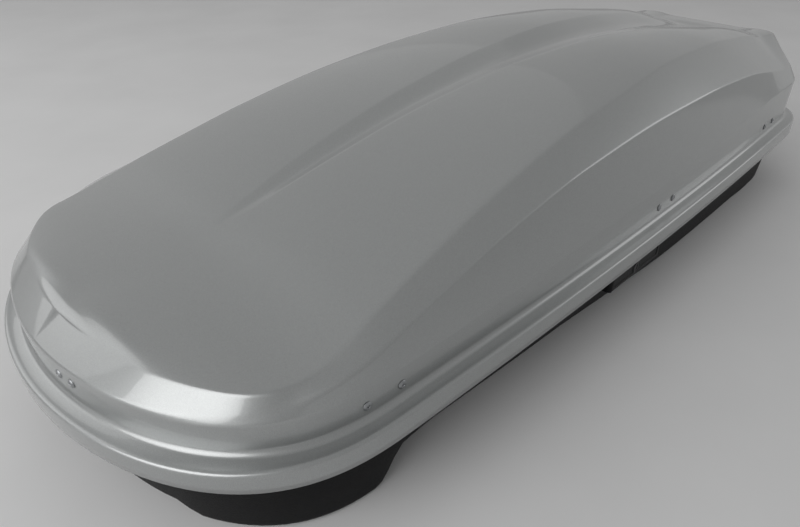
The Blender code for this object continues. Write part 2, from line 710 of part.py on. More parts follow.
def make_seal(finish):
    """The rubber ring between the tray's lip and the lid's ledge."""
    inner = TRAY_LIP_INSET + TRAY_WALL + 0.0015
    low = RIM_HEIGHT + TRAY_LIP_RISE + GAP
    high = RIM_HEIGHT + SKIRT_HEIGHT - LID_WALL - 0.0009
    outer = inner - SEAL_WIDTH
    corners = [(outer, low), (outer, high - SEAL_SLOPE), (inner, high), (inner, low)]
    bm = bmesh.new()
    loops = []
    for inset, height in corners:
        half = [outline_point(place, inset) for place in station_angles()]
        ring = half + [(x, -y) for x, y in half[-2:0:-1]]
        loops.append([bm.verts.new((x, y, height)) for x, y in ring])
    for i, loop in enumerate(loops):
        for j, vert in enumerate(loop):
            bm.faces.new((loops[i - 1][j - 1], loops[i - 1][j], vert, loop[j - 1]))
    keep("rim_seal", mesh_from(bm, "rim_seal"), finish)


def slot_cutter():
    """One cutter with the clamp slots of all four floor rails."""
    bm = bmesh.new()
    middle = (SEAT_INNER + SEAT_OUTER) / 2
    outline = stadium(SLOT_LENGTH - SLOT_WIDTH, SLOT_WIDTH)
    for x in SEAT_X.values():
        start = x - (SLOT_LENGTH - SLOT_WIDTH) / 2
        for side in (-1, 1):
            for step in (-0.5, 0.5):
                y = side * middle + step * SLOT_SPREAD
                level = foot_height(x)
                face = bm.faces.new([bm.verts.new((start + px, y + py, level - 0.02)) for px, py in outline])
                pushed = bmesh.ops.extrude_face_region(bm, geom=[face])
                moved = [item for item in pushed["geom"] if isinstance(item, bmesh.types.BMVert)]
                bmesh.ops.translate(bm, vec=(0, 0, 0.05), verts=moved)
    return keep("clamp_slots", mesh_from(bm, "clamp_slots"), bpy.data.materials["steel"])


def make_rails(steel, slots):
    """Four steel rails that spread the clamps' load over the tray's floor."""
    middle = (SEAT_INNER + SEAT_OUTER) / 2
    low = TRAY_WALL + GAP
    for place, x in SEAT_X.items():
        rise = seat_line(x, x + SEAT_HALF_LENGTH) - seat_line(x, x - SEAT_HALF_LENGTH)
        slope = math.atan2(rise, 2 * SEAT_HALF_LENGTH)
        for hand, side in (("left", 1), ("right", -1)):
            name = f"floor_rail_{place}_{hand}"
            mesh = box_mesh(name, (-RAIL_HALF_LENGTH, -RAIL_WIDTH / 2, low),
                            (RAIL_HALF_LENGTH, RAIL_WIDTH / 2, low + RAIL_THICKNESS))
            frame = Matrix.Translation((x, side * middle, foot_height(x))) @ Matrix.Rotation(-slope, 4, "Y")
            rail = keep(name, mesh, steel, frame)
            combine(rail, slots, "DIFFERENCE")


# Hinges

def curl(start_deg, end_deg, steps=9):
    """Points of a rolled knuckle round the hinge pin."""
    radius = HINGE_PIN_RADIUS + RUN_GAP / 2 + LEAF_THICKNESS / 2
    angles = [math.radians(start_deg + (end_deg - start_deg) * i / steps) for i in range(steps + 1)]
    return [(radius * math.cos(angle), radius * math.sin(angle)) for angle in angles]


def hinge_frame(x):
    """The frame of one hinge, on the hinge axis."""
    place = Matrix.Translation((local_x(-1, x), HINGE_INSET, RIM_HEIGHT - HINGE_DROP))
    return side_frame(-1) @ place


def make_hinge(name, x, steel, lid_pivot, lid_matrix, drills):
    """One hinge: a leaf on the lid's skirt, a leaf on the tray's wall, and their pin."""
    frame = hinge_frame(x)
    half = HINGE_WIDTH / 2
    skirt = skirt_depth(x) + LEAF_THICKNESS / 2 - HINGE_INSET
    path = [(skirt, HINGE_DROP + HINGE_SKIRT_LAP), (skirt, HINGE_DROP - 0.003)] + curl(180, 440)
    leaf = keep(f"hinge_lid_leaf_{name}", strip_mesh("leaf", path, LEAF_THICKNESS, HINGE_WIDTH), steel, frame)
    for end, step in (("a", 1), ("b", -1)):
        edges = sorted((step * HINGE_KNUCKLE / 2, step * (half + 0.002)))
        cut = box_mesh("cut", (edges[0], skirt - 0.002, -0.008), (edges[1], 0.008, HINGE_DROP - 0.0035))
        combine(leaf, keep(f"cut_lid_leaf_{name}_{end}", cut, steel, frame), "DIFFERENCE")
    combine(leaf, drills, "DIFFERENCE")
    attach(leaf, lid_pivot, lid_matrix)

    wall = depth_outside(x, HINGE_WIDTH, TRAY_WALL_INSET) - GAP - LEAF_THICKNESS / 2 - HINGE_INSET
    top = HINGE_PIN_RADIUS + RUN_GAP / 2 + LEAF_THICKNESS / 2
    path = [(wall, -HINGE_WALL_LAP), (wall, top)] + curl(90, 350)
    bent = strip_mesh("leaf", path, LEAF_THICKNESS, HINGE_WIDTH)
    leaf = keep(f"hinge_tray_leaf_{name}", bent, steel, frame)
    reach = HINGE_KNUCKLE / 2 + RUN_GAP
    cut = box_mesh("cut", (-reach, -0.008, -0.008), (reach, 0.0075, 0.008))
    combine(leaf, keep(f"cut_tray_leaf_{name}", cut, steel, frame), "DIFFERENCE")

    pin = pin_mesh(f"hinge_pin_{name}", HINGE_PIN_RADIUS, HINGE_PIN_HEAD, HINGE_WIDTH + 2 * GAP)
    keep(f"hinge_pin_{name}", pin, steel, frame)


# Lid stays

def stay_reach():
    """How far the stay's anchors lie inside the hinge axis."""
    return math.sqrt(STAY_ARM**2 - STAY_RISE**2)


def arm_mesh(name, turn, plane):
    """One stay arm from its eye at the origin, in its own plane along X."""
    outline = stadium(STAY_ARM, STAY_ARM_WIDTH)
    c, s = math.cos(turn), math.sin(turn)
    points = [(plane - STAY_PLATE / 2, y * c - z * s, y * s + z * c)
              for y, z in outline]
    return prism_mesh(name, points, (STAY_PLATE, 0, 0))


def bracket_mesh(name, web_plane, flange_way, near_depth, far_depth, low, high):
    """An angle bracket: a flange on the wall and a web that reaches inwards."""
    face = web_plane - flange_way * STAY_PLATE / 2
    back = web_plane + flange_way * STAY_PLATE / 2
    tip = face + flange_way * STAY_FLANGE
    points = [(face, near_depth, low), (tip, near_depth, low), (tip, near_depth + STAY_PLATE, low),
              (back, near_depth + STAY_PLATE, low), (back, far_depth, low), (face, far_depth, low)]
    return prism_mesh(name, points, (0, 0, high - low))


def make_stay(name, x, steel, lid_pivot, lid_matrix):
    """One lid stay: two brackets, two equal arms and three pins."""
    frame = hinge_frame(x)
    reach = stay_reach()
    pitch = STAY_PLATE + GAP
    lift = math.atan2(STAY_RISE, reach)
    half_web = STAY_ARM_WIDTH / 2 + 0.002
    flange_zone = STAY_FLANGE * 2

    lower_low = -STAY_RISE - half_web
    wall = tray_clear(x, flange_zone, RIM_HEIGHT - HINGE_DROP + lower_low) - HINGE_INSET
    mesh = bracket_mesh("bracket", -1.5 * pitch, -1, wall, reach + half_web, lower_low, -STAY_RISE + half_web)
    tray_bracket = keep(f"stay_tray_bracket_{name}", mesh, steel, frame)

    band = depth_inside(x, flange_zone, LEDGE_WIDTH + LID_WALL) + GAP - HINGE_INSET
    low = STAY_RISE - half_web
    high = HINGE_DROP + BAND_FOOT + STAY_FLANGE
    mesh = bracket_mesh("bracket", 1.5 * pitch, 1, band, reach + half_web, low, high)
    lid_bracket = keep(f"stay_lid_bracket_{name}", mesh, steel, frame)
    clear = STAY_LEG_INSET - HINGE_INSET
    foot = HINGE_DROP + BAND_FOOT + 0.004
    cut = box_mesh("cut", (-0.06, band - 0.01, low - 0.01), (0.06, clear, foot))
    combine(lid_bracket, keep(f"cut_bracket_foot_{name}", cut, steel, frame), "DIFFERENCE")
    cut = box_mesh("cut", (-0.06, clear + 0.03, HINGE_DROP + 0.012), (0.06, reach + 0.05, high + 0.01))
    combine(lid_bracket, keep(f"cut_bracket_top_{name}", cut, steel, frame), "DIFFERENCE")
    attach(lid_bracket, lid_pivot, lid_matrix)

    lower_frame = frame @ Matrix.Translation((0, reach, -STAY_RISE))
    upper_frame = frame @ Matrix.Translation((0, reach, STAY_RISE))
    knee_frame = frame @ Matrix.Translation((0, 2 * reach, 0))
    lower_pivot = pivot(f"pivot_lower_{name}", lower_frame)
    upper_pivot = pivot(f"pivot_upper_{name}", upper_frame)
    lower = keep(f"stay_lower_arm_{name}", arm_mesh("arm", lift, -0.5 * pitch), steel, lower_frame)
    upper = keep(f"stay_upper_arm_{name}", arm_mesh("arm", -lift, 0.5 * pitch), steel, upper_frame)
    attach(lower, lower_pivot, lower_frame)
    attach(upper, upper_pivot, upper_frame)

    span = 2 * STAY_PLATE + 3 * GAP
    pins = (("tray", lower_frame, -pitch, GAP), ("lid", upper_frame, pitch, GAP),
            ("knee", knee_frame, 0.0, RUN_GAP))
    carriers = {"tray": (tray_bracket, lower), "lid": (lid_bracket, upper), "knee": (lower, upper)}
    for spot, spot_frame, plane, play in pins:
        mesh = pin_mesh("pin", STAY_PIN_RADIUS, STAY_PIN_HEAD, span)
        mesh.transform(Matrix.Translation((plane, 0, 0)))
        pin = keep(f"stay_pin_{spot}_{name}", mesh, steel, spot_frame)
        bore = cylinder_x("bore", STAY_PIN_RADIUS + play, plane - 0.02, plane + 0.02)
        drill = keep(f"drill_{spot}_{name}", bore, steel, spot_frame)
        for carrier in carriers[spot]:
            combine(carrier, drill, "DIFFERENCE")
        if spot == "lid":
            attach(pin, lid_pivot, lid_matrix)
        if spot == "knee":
            attach(pin, lower_pivot, lower_frame)


# Locking bar, bolts, strikers and guides

def bar_levels():
    """The heights of the bar's lower and upper edges."""
    high = RIM_HEIGHT - BAR_DROP
    return high - BAR_HEIGHT, high


def make_striker(name, x, black, drills, lid_pivot, lid_matrix):
    """A moulded striker inside the lid's band, with a window for its bolt."""
    frame = side_frame(1) @ Matrix.Translation((local_x(1, x), 0, 0))
    pad_half = RIVET_PITCH / 2 + PAD_MARGIN
    bar_low, bar_high = bar_levels()
    low = bar_low - 0.004
    high = RIM_HEIGHT + RIVET_HEIGHT + STRIKER_PAD_HEIGHT / 2
    pad_low = RIM_HEIGHT + RIVET_HEIGHT - STRIKER_PAD_HEIGHT / 2
    outer = pad_depth(x)
    inner = BAR_INSET - BAR_THICKNESS / 2 - 0.0035
    web = STRIKER_WEB / 2
    points = [(-pad_half, outer, low), (pad_half, outer, low), (pad_half, outer + STRIKER_PAD, low),
              (web, outer + STRIKER_PAD, low), (web, inner, low), (-web, inner, low),
              (-web, outer + STRIKER_PAD, low), (-pad_half, outer + STRIKER_PAD, low)]
    striker = keep(f"striker_{name}", prism_mesh("striker", points, (0, 0, high - low)), black, frame)
    clear = tray_clear(x, STRIKER_WEB, low) + RUN_GAP
    cut = box_mesh("cut", (-pad_half - 0.01, outer - 0.01, low - 0.01), (pad_half + 0.01, clear, pad_low))
    combine(striker, keep(f"cut_striker_foot_{name}", cut, black, frame), "DIFFERENCE")
    finger_out = BAR_INSET - BAR_THICKNESS / 2 - BOLT_REACH - STRIKER_WINDOW_CLEARANCE
    middle = (bar_low + bar_high) / 2
    play = BOLT_HEIGHT / 2 + STRIKER_WINDOW_CLEARANCE
    window = box_mesh("cut", (-0.01, finger_out, middle - play),
                      (0.01, finger_out + BOLT_FINGER + 2 * STRIKER_WINDOW_CLEARANCE, middle + play))
    combine(striker, keep(f"cut_striker_window_{name}", window, black, frame), "DIFFERENCE")
    combine(striker, drills, "DIFFERENCE")
    attach(striker, lid_pivot, lid_matrix)


def make_bar(steel, black, bar_pivot, bar_matrix):
    """The locking bar with its slot for the crank, and a bolt for each striker."""
    frame = side_frame(1)
    low, high = bar_levels()
    outer = BAR_INSET - BAR_THICKNESS / 2
    mesh = box_mesh("bar", (-BAR_HALF_LENGTH, outer, low), (BAR_HALF_LENGTH, outer + BAR_THICKNESS, high))
    bar = keep("locking_bar", mesh, steel, frame)
    slot_x = local_x(1, LOCK_X) - CRANK_RADIUS * math.sin(math.pi / 4)
    slot_half = CRANK_PIN_RADIUS + RUN_GAP
    pin_low = RIM_HEIGHT - BARREL_DROP + CRANK_RADIUS * math.cos(math.pi / 4)
    pin_high = RIM_HEIGHT - BARREL_DROP + CRANK_RADIUS
    slot = box_mesh("cut", (slot_x - slot_half, outer - 0.01, pin_low - slot_half),
                    (slot_x + slot_half, outer + 0.02, pin_high + slot_half))
    combine(bar, keep("cut_bar_slot", slot, steel, frame), "DIFFERENCE")
    attach(bar, bar_pivot, bar_matrix)
    middle = (low + high) / 2
    start = -STRIKER_WEB / 2 - 0.004
    for name, x in STATION_X.items():
        tip = local_x(1, x) + start
        back = tip - BOLT_LENGTH
        face = outer - GAP
        reach = outer - BOLT_REACH
        points = [(tip, reach), (tip, reach + BOLT_FINGER), (back, reach + BOLT_FINGER), (back, face),
                  (back - 0.012, face), (back - 0.012, reach)]
        outline = [(px, py, middle - BOLT_HEIGHT / 2) for px, py in points]
        bolt = keep(f"bolt_{name}", prism_mesh("bolt", outline, (0, 0, BOLT_HEIGHT)), black, frame)
        attach(bolt, bar_pivot, bar_matrix)


def make_guides(black):
    """The three guides that carry the locking bar on the tray's wall."""
    low, high = bar_levels()
    for name, x in STATION_X.items():
        place_x = x - GUIDE_OFFSET if name == "front" else x + GUIDE_OFFSET
        frame = side_frame(1) @ Matrix.Translation((local_x(1, place_x), 0, 0))
        floor = low - GAP - GUIDE_THICKNESS / 2
        wall = tray_clear(place_x, GUIDE_LENGTH, floor - GUIDE_THICKNESS / 2) + GUIDE_THICKNESS / 2
        keeper = BAR_INSET + BAR_THICKNESS / 2 + GAP + GUIDE_THICKNESS / 2
        path = [(wall, high + 0.004), (wall, floor), (keeper, floor), (keeper, high + 0.001)]
        keep(f"bar_guide_{name}", strip_mesh("guide", path, GUIDE_THICKNESS, GUIDE_LENGTH), black, frame)


# Lock

def make_lock(black, steel, tray):
    """The lock's housing outside the tray, its key barrel and its crank."""
    frame = side_frame(1) @ Matrix.Translation((local_x(1, LOCK_X), 0, 0))
    inner = depth_outside(LOCK_X, LOCK_LENGTH, TRAY_WALL_INSET) - GAP
    outer = inner - LOCK_DEPTH
    high = RIM_HEIGHT - LOCK_DROP
    axis_z = RIM_HEIGHT - BARREL_DROP
    housing = keep("lock_housing", box_mesh("housing", (-LOCK_LENGTH / 2, outer, high - LOCK_HEIGHT),
                                            (LOCK_LENGTH / 2, inner, high)), black, frame)
    rounding = housing.modifiers.new("Rounding", "BEVEL")
    rounding.width = 0.004
    rounding.segments = 2
    rounding.limit_method = "ANGLE"
    crank_face = BAR_INSET - BAR_THICKNESS / 2 - GAP
    along_y = Matrix.Rotation(-math.pi / 2, 4, "X")
    length = crank_face - CRANK_THICKNESS - GAP - outer
    barrel_matrix = frame @ Matrix.Translation((0, outer, axis_z))
    bm = bmesh.new()
    bmesh.ops.create_cone(bm, cap_ends=True, segments=20, radius1=BARREL_RADIUS, radius2=BARREL_RADIUS,
                          depth=length, matrix=Matrix.Translation((0, length / 2, 0)) @ along_y)
    barrel = keep("lock_barrel", mesh_from(bm, "lock_barrel"), steel, barrel_matrix)
    keyway = box_mesh("cut", (-0.0013, -0.001, -0.0055), (0.0013, KEYWAY_DEPTH, 0.0055))
    combine(barrel, keep("cut_keyway", keyway, steel, barrel_matrix), "DIFFERENCE")
    bm = bmesh.new()
    bmesh.ops.create_cone(bm, cap_ends=True, segments=20, radius1=BARREL_RADIUS + GAP,
                          radius2=BARREL_RADIUS + GAP, depth=0.08, matrix=Matrix.Translation((0, 0.03, 0)) @ along_y)
    bore = keep("cut_barrel_bore", mesh_from(bm, "barrel_bore"), steel, barrel_matrix)
    combine(housing, bore, "DIFFERENCE")
    combine(tray, bore, "DIFFERENCE")

    crank_matrix = frame @ Matrix.Translation((0, crank_face - CRANK_THICKNESS, axis_z))
    crank_matrix = crank_matrix @ Matrix.Rotation(-math.pi / 4, 4, "Y")
    outline = [(-py, 0.0, px) for px, py in stadium(CRANK_RADIUS, CRANK_WIDTH)]
    crank = keep("lock_crank", prism_mesh("crank", outline, (0, CRANK_THICKNESS, 0)), steel, crank_matrix)
    bm = bmesh.new()
    reach = CRANK_THICKNESS + 0.006
    bmesh.ops.create_cone(bm, cap_ends=True, segments=12, radius1=CRANK_PIN_RADIUS, radius2=CRANK_PIN_RADIUS,
                          depth=reach - 0.001,
                          matrix=Matrix.Translation((0, (reach + 0.001) / 2, CRANK_RADIUS)) @ along_y)
    combine(crank, keep("join_crank_pin", mesh_from(bm, "crank_pin"), steel, crank_matrix), "UNION")
    barrel_pivot = pivot("pivot_barrel", barrel_matrix)
    attach(barrel, barrel_pivot, barrel_matrix)
    attach(crank, barrel_pivot, barrel_matrix)


# Nose guide

def make_nose_guide(black, drills, lid_pivot, lid_matrix):
    """The tongue at the nose that drops inside the tray's wall."""
    point, inward = nose_spot(NOSE_GUIDE_Y, LEDGE_WIDTH)
    frame = Matrix.Translation((point.x, point.y, RIM_HEIGHT)) @ Matrix.Rotation(inward - math.pi / 2, 4, "Z")
    thick = GUIDE_THICKNESS
    band = LID_WALL + BOW_PLAY + thick / 2
    wall = TRAY_WALL_INSET - LEDGE_WIDTH + TRAY_WALL + 0.0045
    path = [(band, NOSE_RIVET_HEIGHT + 0.008), (band, NOSE_RIVET_HEIGHT - 0.016),
            (wall, NOSE_RIVET_HEIGHT - 0.030), (wall, -0.020)]
    guide = keep("nose_guide", strip_mesh("nose_guide", path, thick, NOSE_GUIDE_PITCH + 0.016), black, frame)
    combine(guide, drills, "DIFFERENCE")
    attach(guide, lid_pivot, lid_matrix)


def main():
    """Build every piece of the box, closed and unlocked."""
    for item in list(bpy.data.objects):
        bpy.data.objects.remove(item, do_unlink=True)
    silver = material("lid_silver", (0.36, 0.39, 0.41), 0.22, 0.6)
    black = material("tray_black", (0.018, 0.018, 0.020), 0.45)
    rubber = material("seal_rubber", (0.02, 0.02, 0.02), 0.8)
    steel = material("steel", (0.55, 0.55, 0.55), 0.3, 1.0)
    rivet_metal = material("rivet_metal", (0.30, 0.31, 0.32), 0.35, 0.9)

    lid_matrix = hinge_frame(STATION_X["middle"])
    lid_pivot = pivot("pivot_lid", lid_matrix)
    bar_matrix = side_frame(1)
    bar_pivot = pivot("pivot_bar", bar_matrix)

    lid = make_lid(silver)
    tray = make_tray(black)
    make_seal(rubber)
    slots = slot_cutter()
    combine(tray, slots, "DIFFERENCE")
    make_rails(steel, slots)

    spots = rivet_spots()
    drills = keep("rivet_drills", rivet_drills(spots), steel)
    combine(lid, drills, "DIFFERENCE")
    attach(lid, lid_pivot, lid_matrix)
    for name, frame, grip in spots:
        rivet = keep(name, rivet_mesh(name, grip), rivet_metal, frame)
        attach(rivet, lid_pivot, lid_matrix)

    for name, x in STATION_X.items():
        make_hinge(name, x, steel, lid_pivot, lid_matrix, drills)
        make_striker(name, x, black, drills, lid_pivot, lid_matrix)
    for name, x in STAY_X.items():
        make_stay(name, x, steel, lid_pivot, lid_matrix)
    make_bar(steel, black, bar_pivot, bar_matrix)
    make_guides(black)
    make_lock(black, steel, tray)
    make_nose_guide(black, drills, lid_pivot, lid_matrix)


main()
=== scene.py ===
# %% [markdown]
# # A roof box, dressed for its picture
#
# The real thing is a lid of glossy silver plastic, pulled over a mould, on a black plastic tray. The solids
# of the part come in first and stay as the frame. Finer shapes and real finishes then go over them.

# %% Load the frame
import math

import bmesh
import bpy
import numpy as np
from mathutils import Matrix, Vector


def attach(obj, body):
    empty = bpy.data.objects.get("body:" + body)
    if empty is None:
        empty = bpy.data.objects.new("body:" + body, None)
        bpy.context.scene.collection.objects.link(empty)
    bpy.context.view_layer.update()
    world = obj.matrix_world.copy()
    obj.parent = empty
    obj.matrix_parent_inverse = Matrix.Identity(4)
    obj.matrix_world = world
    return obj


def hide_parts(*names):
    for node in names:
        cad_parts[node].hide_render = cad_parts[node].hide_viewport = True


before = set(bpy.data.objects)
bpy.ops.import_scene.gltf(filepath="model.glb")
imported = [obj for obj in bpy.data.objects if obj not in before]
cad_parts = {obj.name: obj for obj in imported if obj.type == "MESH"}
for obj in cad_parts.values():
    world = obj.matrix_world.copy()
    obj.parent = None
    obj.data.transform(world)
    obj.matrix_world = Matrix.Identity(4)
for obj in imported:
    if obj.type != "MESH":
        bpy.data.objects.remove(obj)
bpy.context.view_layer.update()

# %% [markdown]
# ## Helpers
#
# Every new piece ends the same way: a bmesh becomes an object at the origin, gets its finish, rides on one of
# the frame's bodies, and stands for a solid. One helper keeps that in one place. A second one turns a chain
# of points about an axis, which is how rivet heads and rings are made on a lathe too.

# %% Helpers for pieces
# Points closer together than this become one
MERGE = 0.00002


def put(name, bm, finish, body, stands_for, sharp_deg=38.0):
    """Turn a bmesh into a smooth-shaded piece that rides on a body."""
    mesh = bpy.data.meshes.new(name)
    bm.to_mesh(mesh)
    bm.free()
    mesh.materials.append(finish)
    mesh.polygons.foreach_set("use_smooth", [True] * len(mesh.polygons))
    mesh.set_sharp_from_angle(angle=math.radians(sharp_deg))
    piece = bpy.data.objects.new(name, mesh)
    bpy.context.scene.collection.objects.link(piece)
    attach(piece, body)
    if stands_for:
        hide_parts(*stands_for)
    return piece


def turned(profile, steps, closed=False):
    """A form turned about Z from a chain of radii and heights."""
    bm = bmesh.new()
    chain = [bm.verts.new((radius, 0.0, height)) for radius, height in profile]
    following = chain[1:] + chain[:1] if closed else chain[1:]
    edges = [bm.edges.new(pair) for pair in zip(chain, following)]
    bmesh.ops.spin(bm, geom=chain + edges, axis=(0, 0, 1), angle=math.tau, steps=steps, use_merge=True)
    bmesh.ops.remove_doubles(bm, verts=bm.verts, dist=MERGE)
    bmesh.ops.recalc_face_normals(bm, faces=bm.faces)
    return bm


print("points merge within", MERGE, "m")

# %% [markdown]
# ## The plan outline
#
# Seen from above the rim is one flowing line: a blunt round nose, sides that draw in towards the back, and a
# squarer tail. Superellipses give such ends with two numbers each, and an inset keeps every other line of the
# rim parallel to it. The lid's upper lines have an inset of their own at the tail, and bow back a little.

# %% Outline of the rim
LENGTH, WIDTH, RIM = 1.90, 0.80, 0.140
NOSE_LENGTH, NOSE_POWER_X, NOSE_POWER_Y = 0.331, 2.81, 1.94
TAIL_LENGTH, TAIL_POWER, TAPER = 0.21, 2.6, 0.056
TAIL_BOW = 0.006
NOSE_END = LENGTH / 2 - NOSE_LENGTH
TAIL_END = -LENGTH / 2 + TAIL_LENGTH
SIDE_RUN = NOSE_END + LENGTH / 2 - TAIL_LENGTH
# Powers that crowd the stations where the outline turns
NOSE_CROWDING, TAIL_CROWDING, ROUND_TAIL_CROWDING = 1.4, 3, 2.2


def tapered(x):
    """Half the rim's width at a place along X, before the ends round it off."""
    run = max(NOSE_END - x, 0.0) / SIDE_RUN
    return WIDTH / 2 - TAPER * run**2


def wall_half(x, inset=0.0):
    """Half the width at a place along X, at an inset from the rim."""
    half = tapered(x) - inset
    if x > NOSE_END:
        share = min((x - NOSE_END) / (NOSE_LENGTH - inset), 1.0)
        return half * (1 - share**NOSE_POWER_X) ** (1 / NOSE_POWER_Y)
    if x < TAIL_END:
        share = min((TAIL_END - x) / (TAIL_LENGTH - inset), 1.0)
        return half * (1 - share**TAIL_POWER) ** (1 / TAIL_POWER)
    return half


def outline_point(place, inset, tail_inset=None, power=TAIL_POWER):
    """A point of the outline at one station, moved in by an inset, or by its own at the tail's end."""
    zone, value = place
    if zone == "nose":
        x = NOSE_END + (NOSE_LENGTH - inset) * math.cos(value) ** (2 / NOSE_POWER_X)
        return x, (WIDTH / 2 - inset) * math.sin(value) ** (2 / NOSE_POWER_Y)
    if zone == "side":
        x = NOSE_END + (TAIL_END - NOSE_END) * value
        return x, wall_half(x, inset)
    reach = TAIL_LENGTH - (inset if tail_inset is None else tail_inset)
    x = TAIL_END - reach * abs(math.cos(value)) ** (2 / power)
    if tail_inset is not None:
        x -= TAIL_BOW * (1 - math.sin(value) ** (4 / power))
    return x, (tapered(x) - inset) * math.sin(value) ** (2 / power)


def stations(nose, side, tail, square=True):
    """Places round one half of the outline, closest together where it turns most."""
    places = [("nose", math.pi / 2 * (1 - (1 - i / nose) ** NOSE_CROWDING)) for i in range(nose)]
    places += [("side", i / side) for i in range(side)]
    for i in range(tail + 1):
        past, ahead = (i / tail) ** TAIL_CROWDING, (1 - i / tail) ** TAIL_CROWDING
        left = ahead / (past + ahead) if square else 1 - (i / tail) ** ROUND_TAIL_CROWDING
        places.append(("tail", math.pi / 2 * left))
    return places


def along(curve, share):
    """Smooth value at a share of the length, through given stations."""
    xs, ys = np.array(curve).T
    slopes = np.diff(ys) / np.diff(xs)
    tangents = np.zeros(len(xs))
    for i in range(1, len(xs) - 1):
        if slopes[i - 1] * slopes[i] > 0.0:
            tangents[i] = 2.0 / (1.0 / slopes[i - 1] + 1.0 / slopes[i])
    share = min(max(share, xs[0]), xs[-1])
    i = min(int(np.searchsorted(xs, share, side="right")) - 1, len(xs) - 2)
    step = xs[i + 1] - xs[i]
    t = (share - xs[i]) / step
    value = (2 * t**3 - 3 * t**2 + 1) * ys[i] + (t**3 - 2 * t**2 + t) * step * tangents[i]
    return float(value + (3 * t**2 - 2 * t**3) * ys[i + 1] + (t**3 - t**2) * step * tangents[i + 1])


def share_at(x):
    """Share of the length from the nose at a place along X."""
    return (LENGTH / 2 - x) / LENGTH


print("rim", LENGTH, "by", WIDTH, "and", round(2 * wall_half(TAIL_END), 3), "wide where the tail starts")

# %% [markdown]
# ## The lid's section
#
# A vacuum-formed lid has no sharp corners: each crease is a small radius, tight where the mould is new and
# wide where the sheet had far to stretch. So the section is set as a few corners, each with its own radius,
# and a rounding helper swaps every corner for a short curve. All sections have the same number of points, so
# they can lie on one grid.

# %% Lines of the lid
WALL = 0.0035
SKIRT, LEDGE, BAND_FOOT = 0.0325, 0.0288, 0.0395
ARC_TAIL_INSET, ARC_TAIL_POWER = 0.050, 4.0
PANEL_TAIL_INSET, PANEL_TAIL_POWER = 0.055, 8.0
# Inset, height above the rim and radius of each corner from the skirt's edge to the band's foot
RIM_CORNERS = [(0.0, 0.0, 0), (0.0003, 0.014, 0.004), (0.0012, SKIRT - 0.0008, 0.0065),
               (0.0125, SKIRT - 0.0004, 0.004), (LEDGE - 0.0045, SKIRT + 0.0018, 0.006),
               (LEDGE, BAND_FOOT + 0.001, 0.004)]
# The other lines are values at shares of the length from the nose
SIDE_CREASE_Z = [(0.0, 0.08), (0.12, 0.08), (0.17, 0.083), (0.34, 0.09), (0.5, 0.098), (0.68, 0.116),
                 (0.85, 0.126), (1.0, 0.126)]
ARC_Z = [(0.0, 0.088), (0.06, 0.088), (0.075, 0.0885), (0.09, 0.091), (0.1, 0.0945), (0.115, 0.102),
         (0.137, 0.112), (0.21, 0.141), (0.295, 0.177), (0.395, 0.207), (0.53, 0.222), (0.62, 0.22),
         (0.737, 0.205), (0.905, 0.152), (0.93, 0.147), (1.0, 0.140)]
ARC_INSET = [(0.0, 0.029), (0.02, 0.0295), (0.032, 0.0305), (0.045, 0.032), (0.06, 0.033), (0.078, 0.0345),
             (0.091, 0.035), (0.108, 0.033), (0.13, 0.0315), (0.21, 0.042), (0.3, 0.05), (0.45, 0.053),
             (1.0, 0.054)]
PANEL_Z = [(0.0, 0.118), (0.035, 0.117), (0.05, 0.1155), (0.066, 0.113), (0.08, 0.112), (0.092, 0.112),
           (0.105, 0.1125), (0.119, 0.1155), (0.137, 0.123), (0.184, 0.15), (0.237, 0.177), (0.29, 0.2015),
           (0.395, 0.237), (0.5, 0.2586), (0.605, 0.2696), (0.71, 0.263), (0.816, 0.2406), (0.87, 0.226),
           (0.93, 0.203), (1.0, 0.195)]
PANEL_INSET = [(0.0, 0.0676), (0.01, 0.0672), (0.0225, 0.0612), (0.035, 0.0575), (0.047, 0.0535),
               (0.062, 0.048), (0.07, 0.0458), (0.08, 0.0452), (0.093, 0.0485), (0.107, 0.0535),
               (0.123, 0.06), (0.145, 0.068), (0.184, 0.077), (0.29, 0.096), (0.395, 0.108), (0.5, 0.118),
               (0.605, 0.131), (0.71, 0.136), (0.816, 0.142), (0.9, 0.146), (1.0, 0.116)]
CREST_Z = [(0.0, 0.121), (0.08, 0.128), (0.132, 0.137), (0.184, 0.161), (0.237, 0.189), (0.29, 0.2136),
           (0.342, 0.2349), (0.395, 0.2514), (0.50, 0.2734), (0.605, 0.2802), (0.71, 0.270),
           (0.816, 0.247), (0.87, 0.231), (0.93, 0.205), (1.0, 0.196)]
CREST_Y = [(0.0, 0.004), (0.15, 0.006), (0.184, 0.015), (0.237, 0.0243), (0.342, 0.0372), (0.50, 0.0555),
           (0.605, 0.070), (0.71, 0.084), (0.87, 0.104), (1.0, 0.115)]
GROOVE = [(0.0, 0.0), (0.155, 0.0), (0.184, 0.002), (0.237, 0.0075), (0.30, 0.010), (0.42, 0.012),
          (0.60, 0.0155), (0.80, 0.0155), (0.91, 0.008), (0.95, 0.0), (1.0, 0.0)]
ARC_RADIUS = [(0.0, 0.0075), (0.10, 0.0065), (0.20, 0.003), (1.0, 0.0025)]
EDGE_RADIUS = [(0.0, 0.0045), (0.12, 0.005), (0.30, 0.008), (0.60, 0.004), (1.0, 0.003)]
print("highest line of the lid", round(RIM + max(z for _, z in CREST_Z), 4), "m above the ground")

# %% [markdown]
# ## One section of the lid
#
# From the arc crease the lid rises to the raised panel, whose edge, crest and V groove run the whole length.
# Each of these lines is a curve above, so a section only has to look them up. At the blunt nose the half
# panel gets too narrow for its crest, and there the crest sinks into the edge.

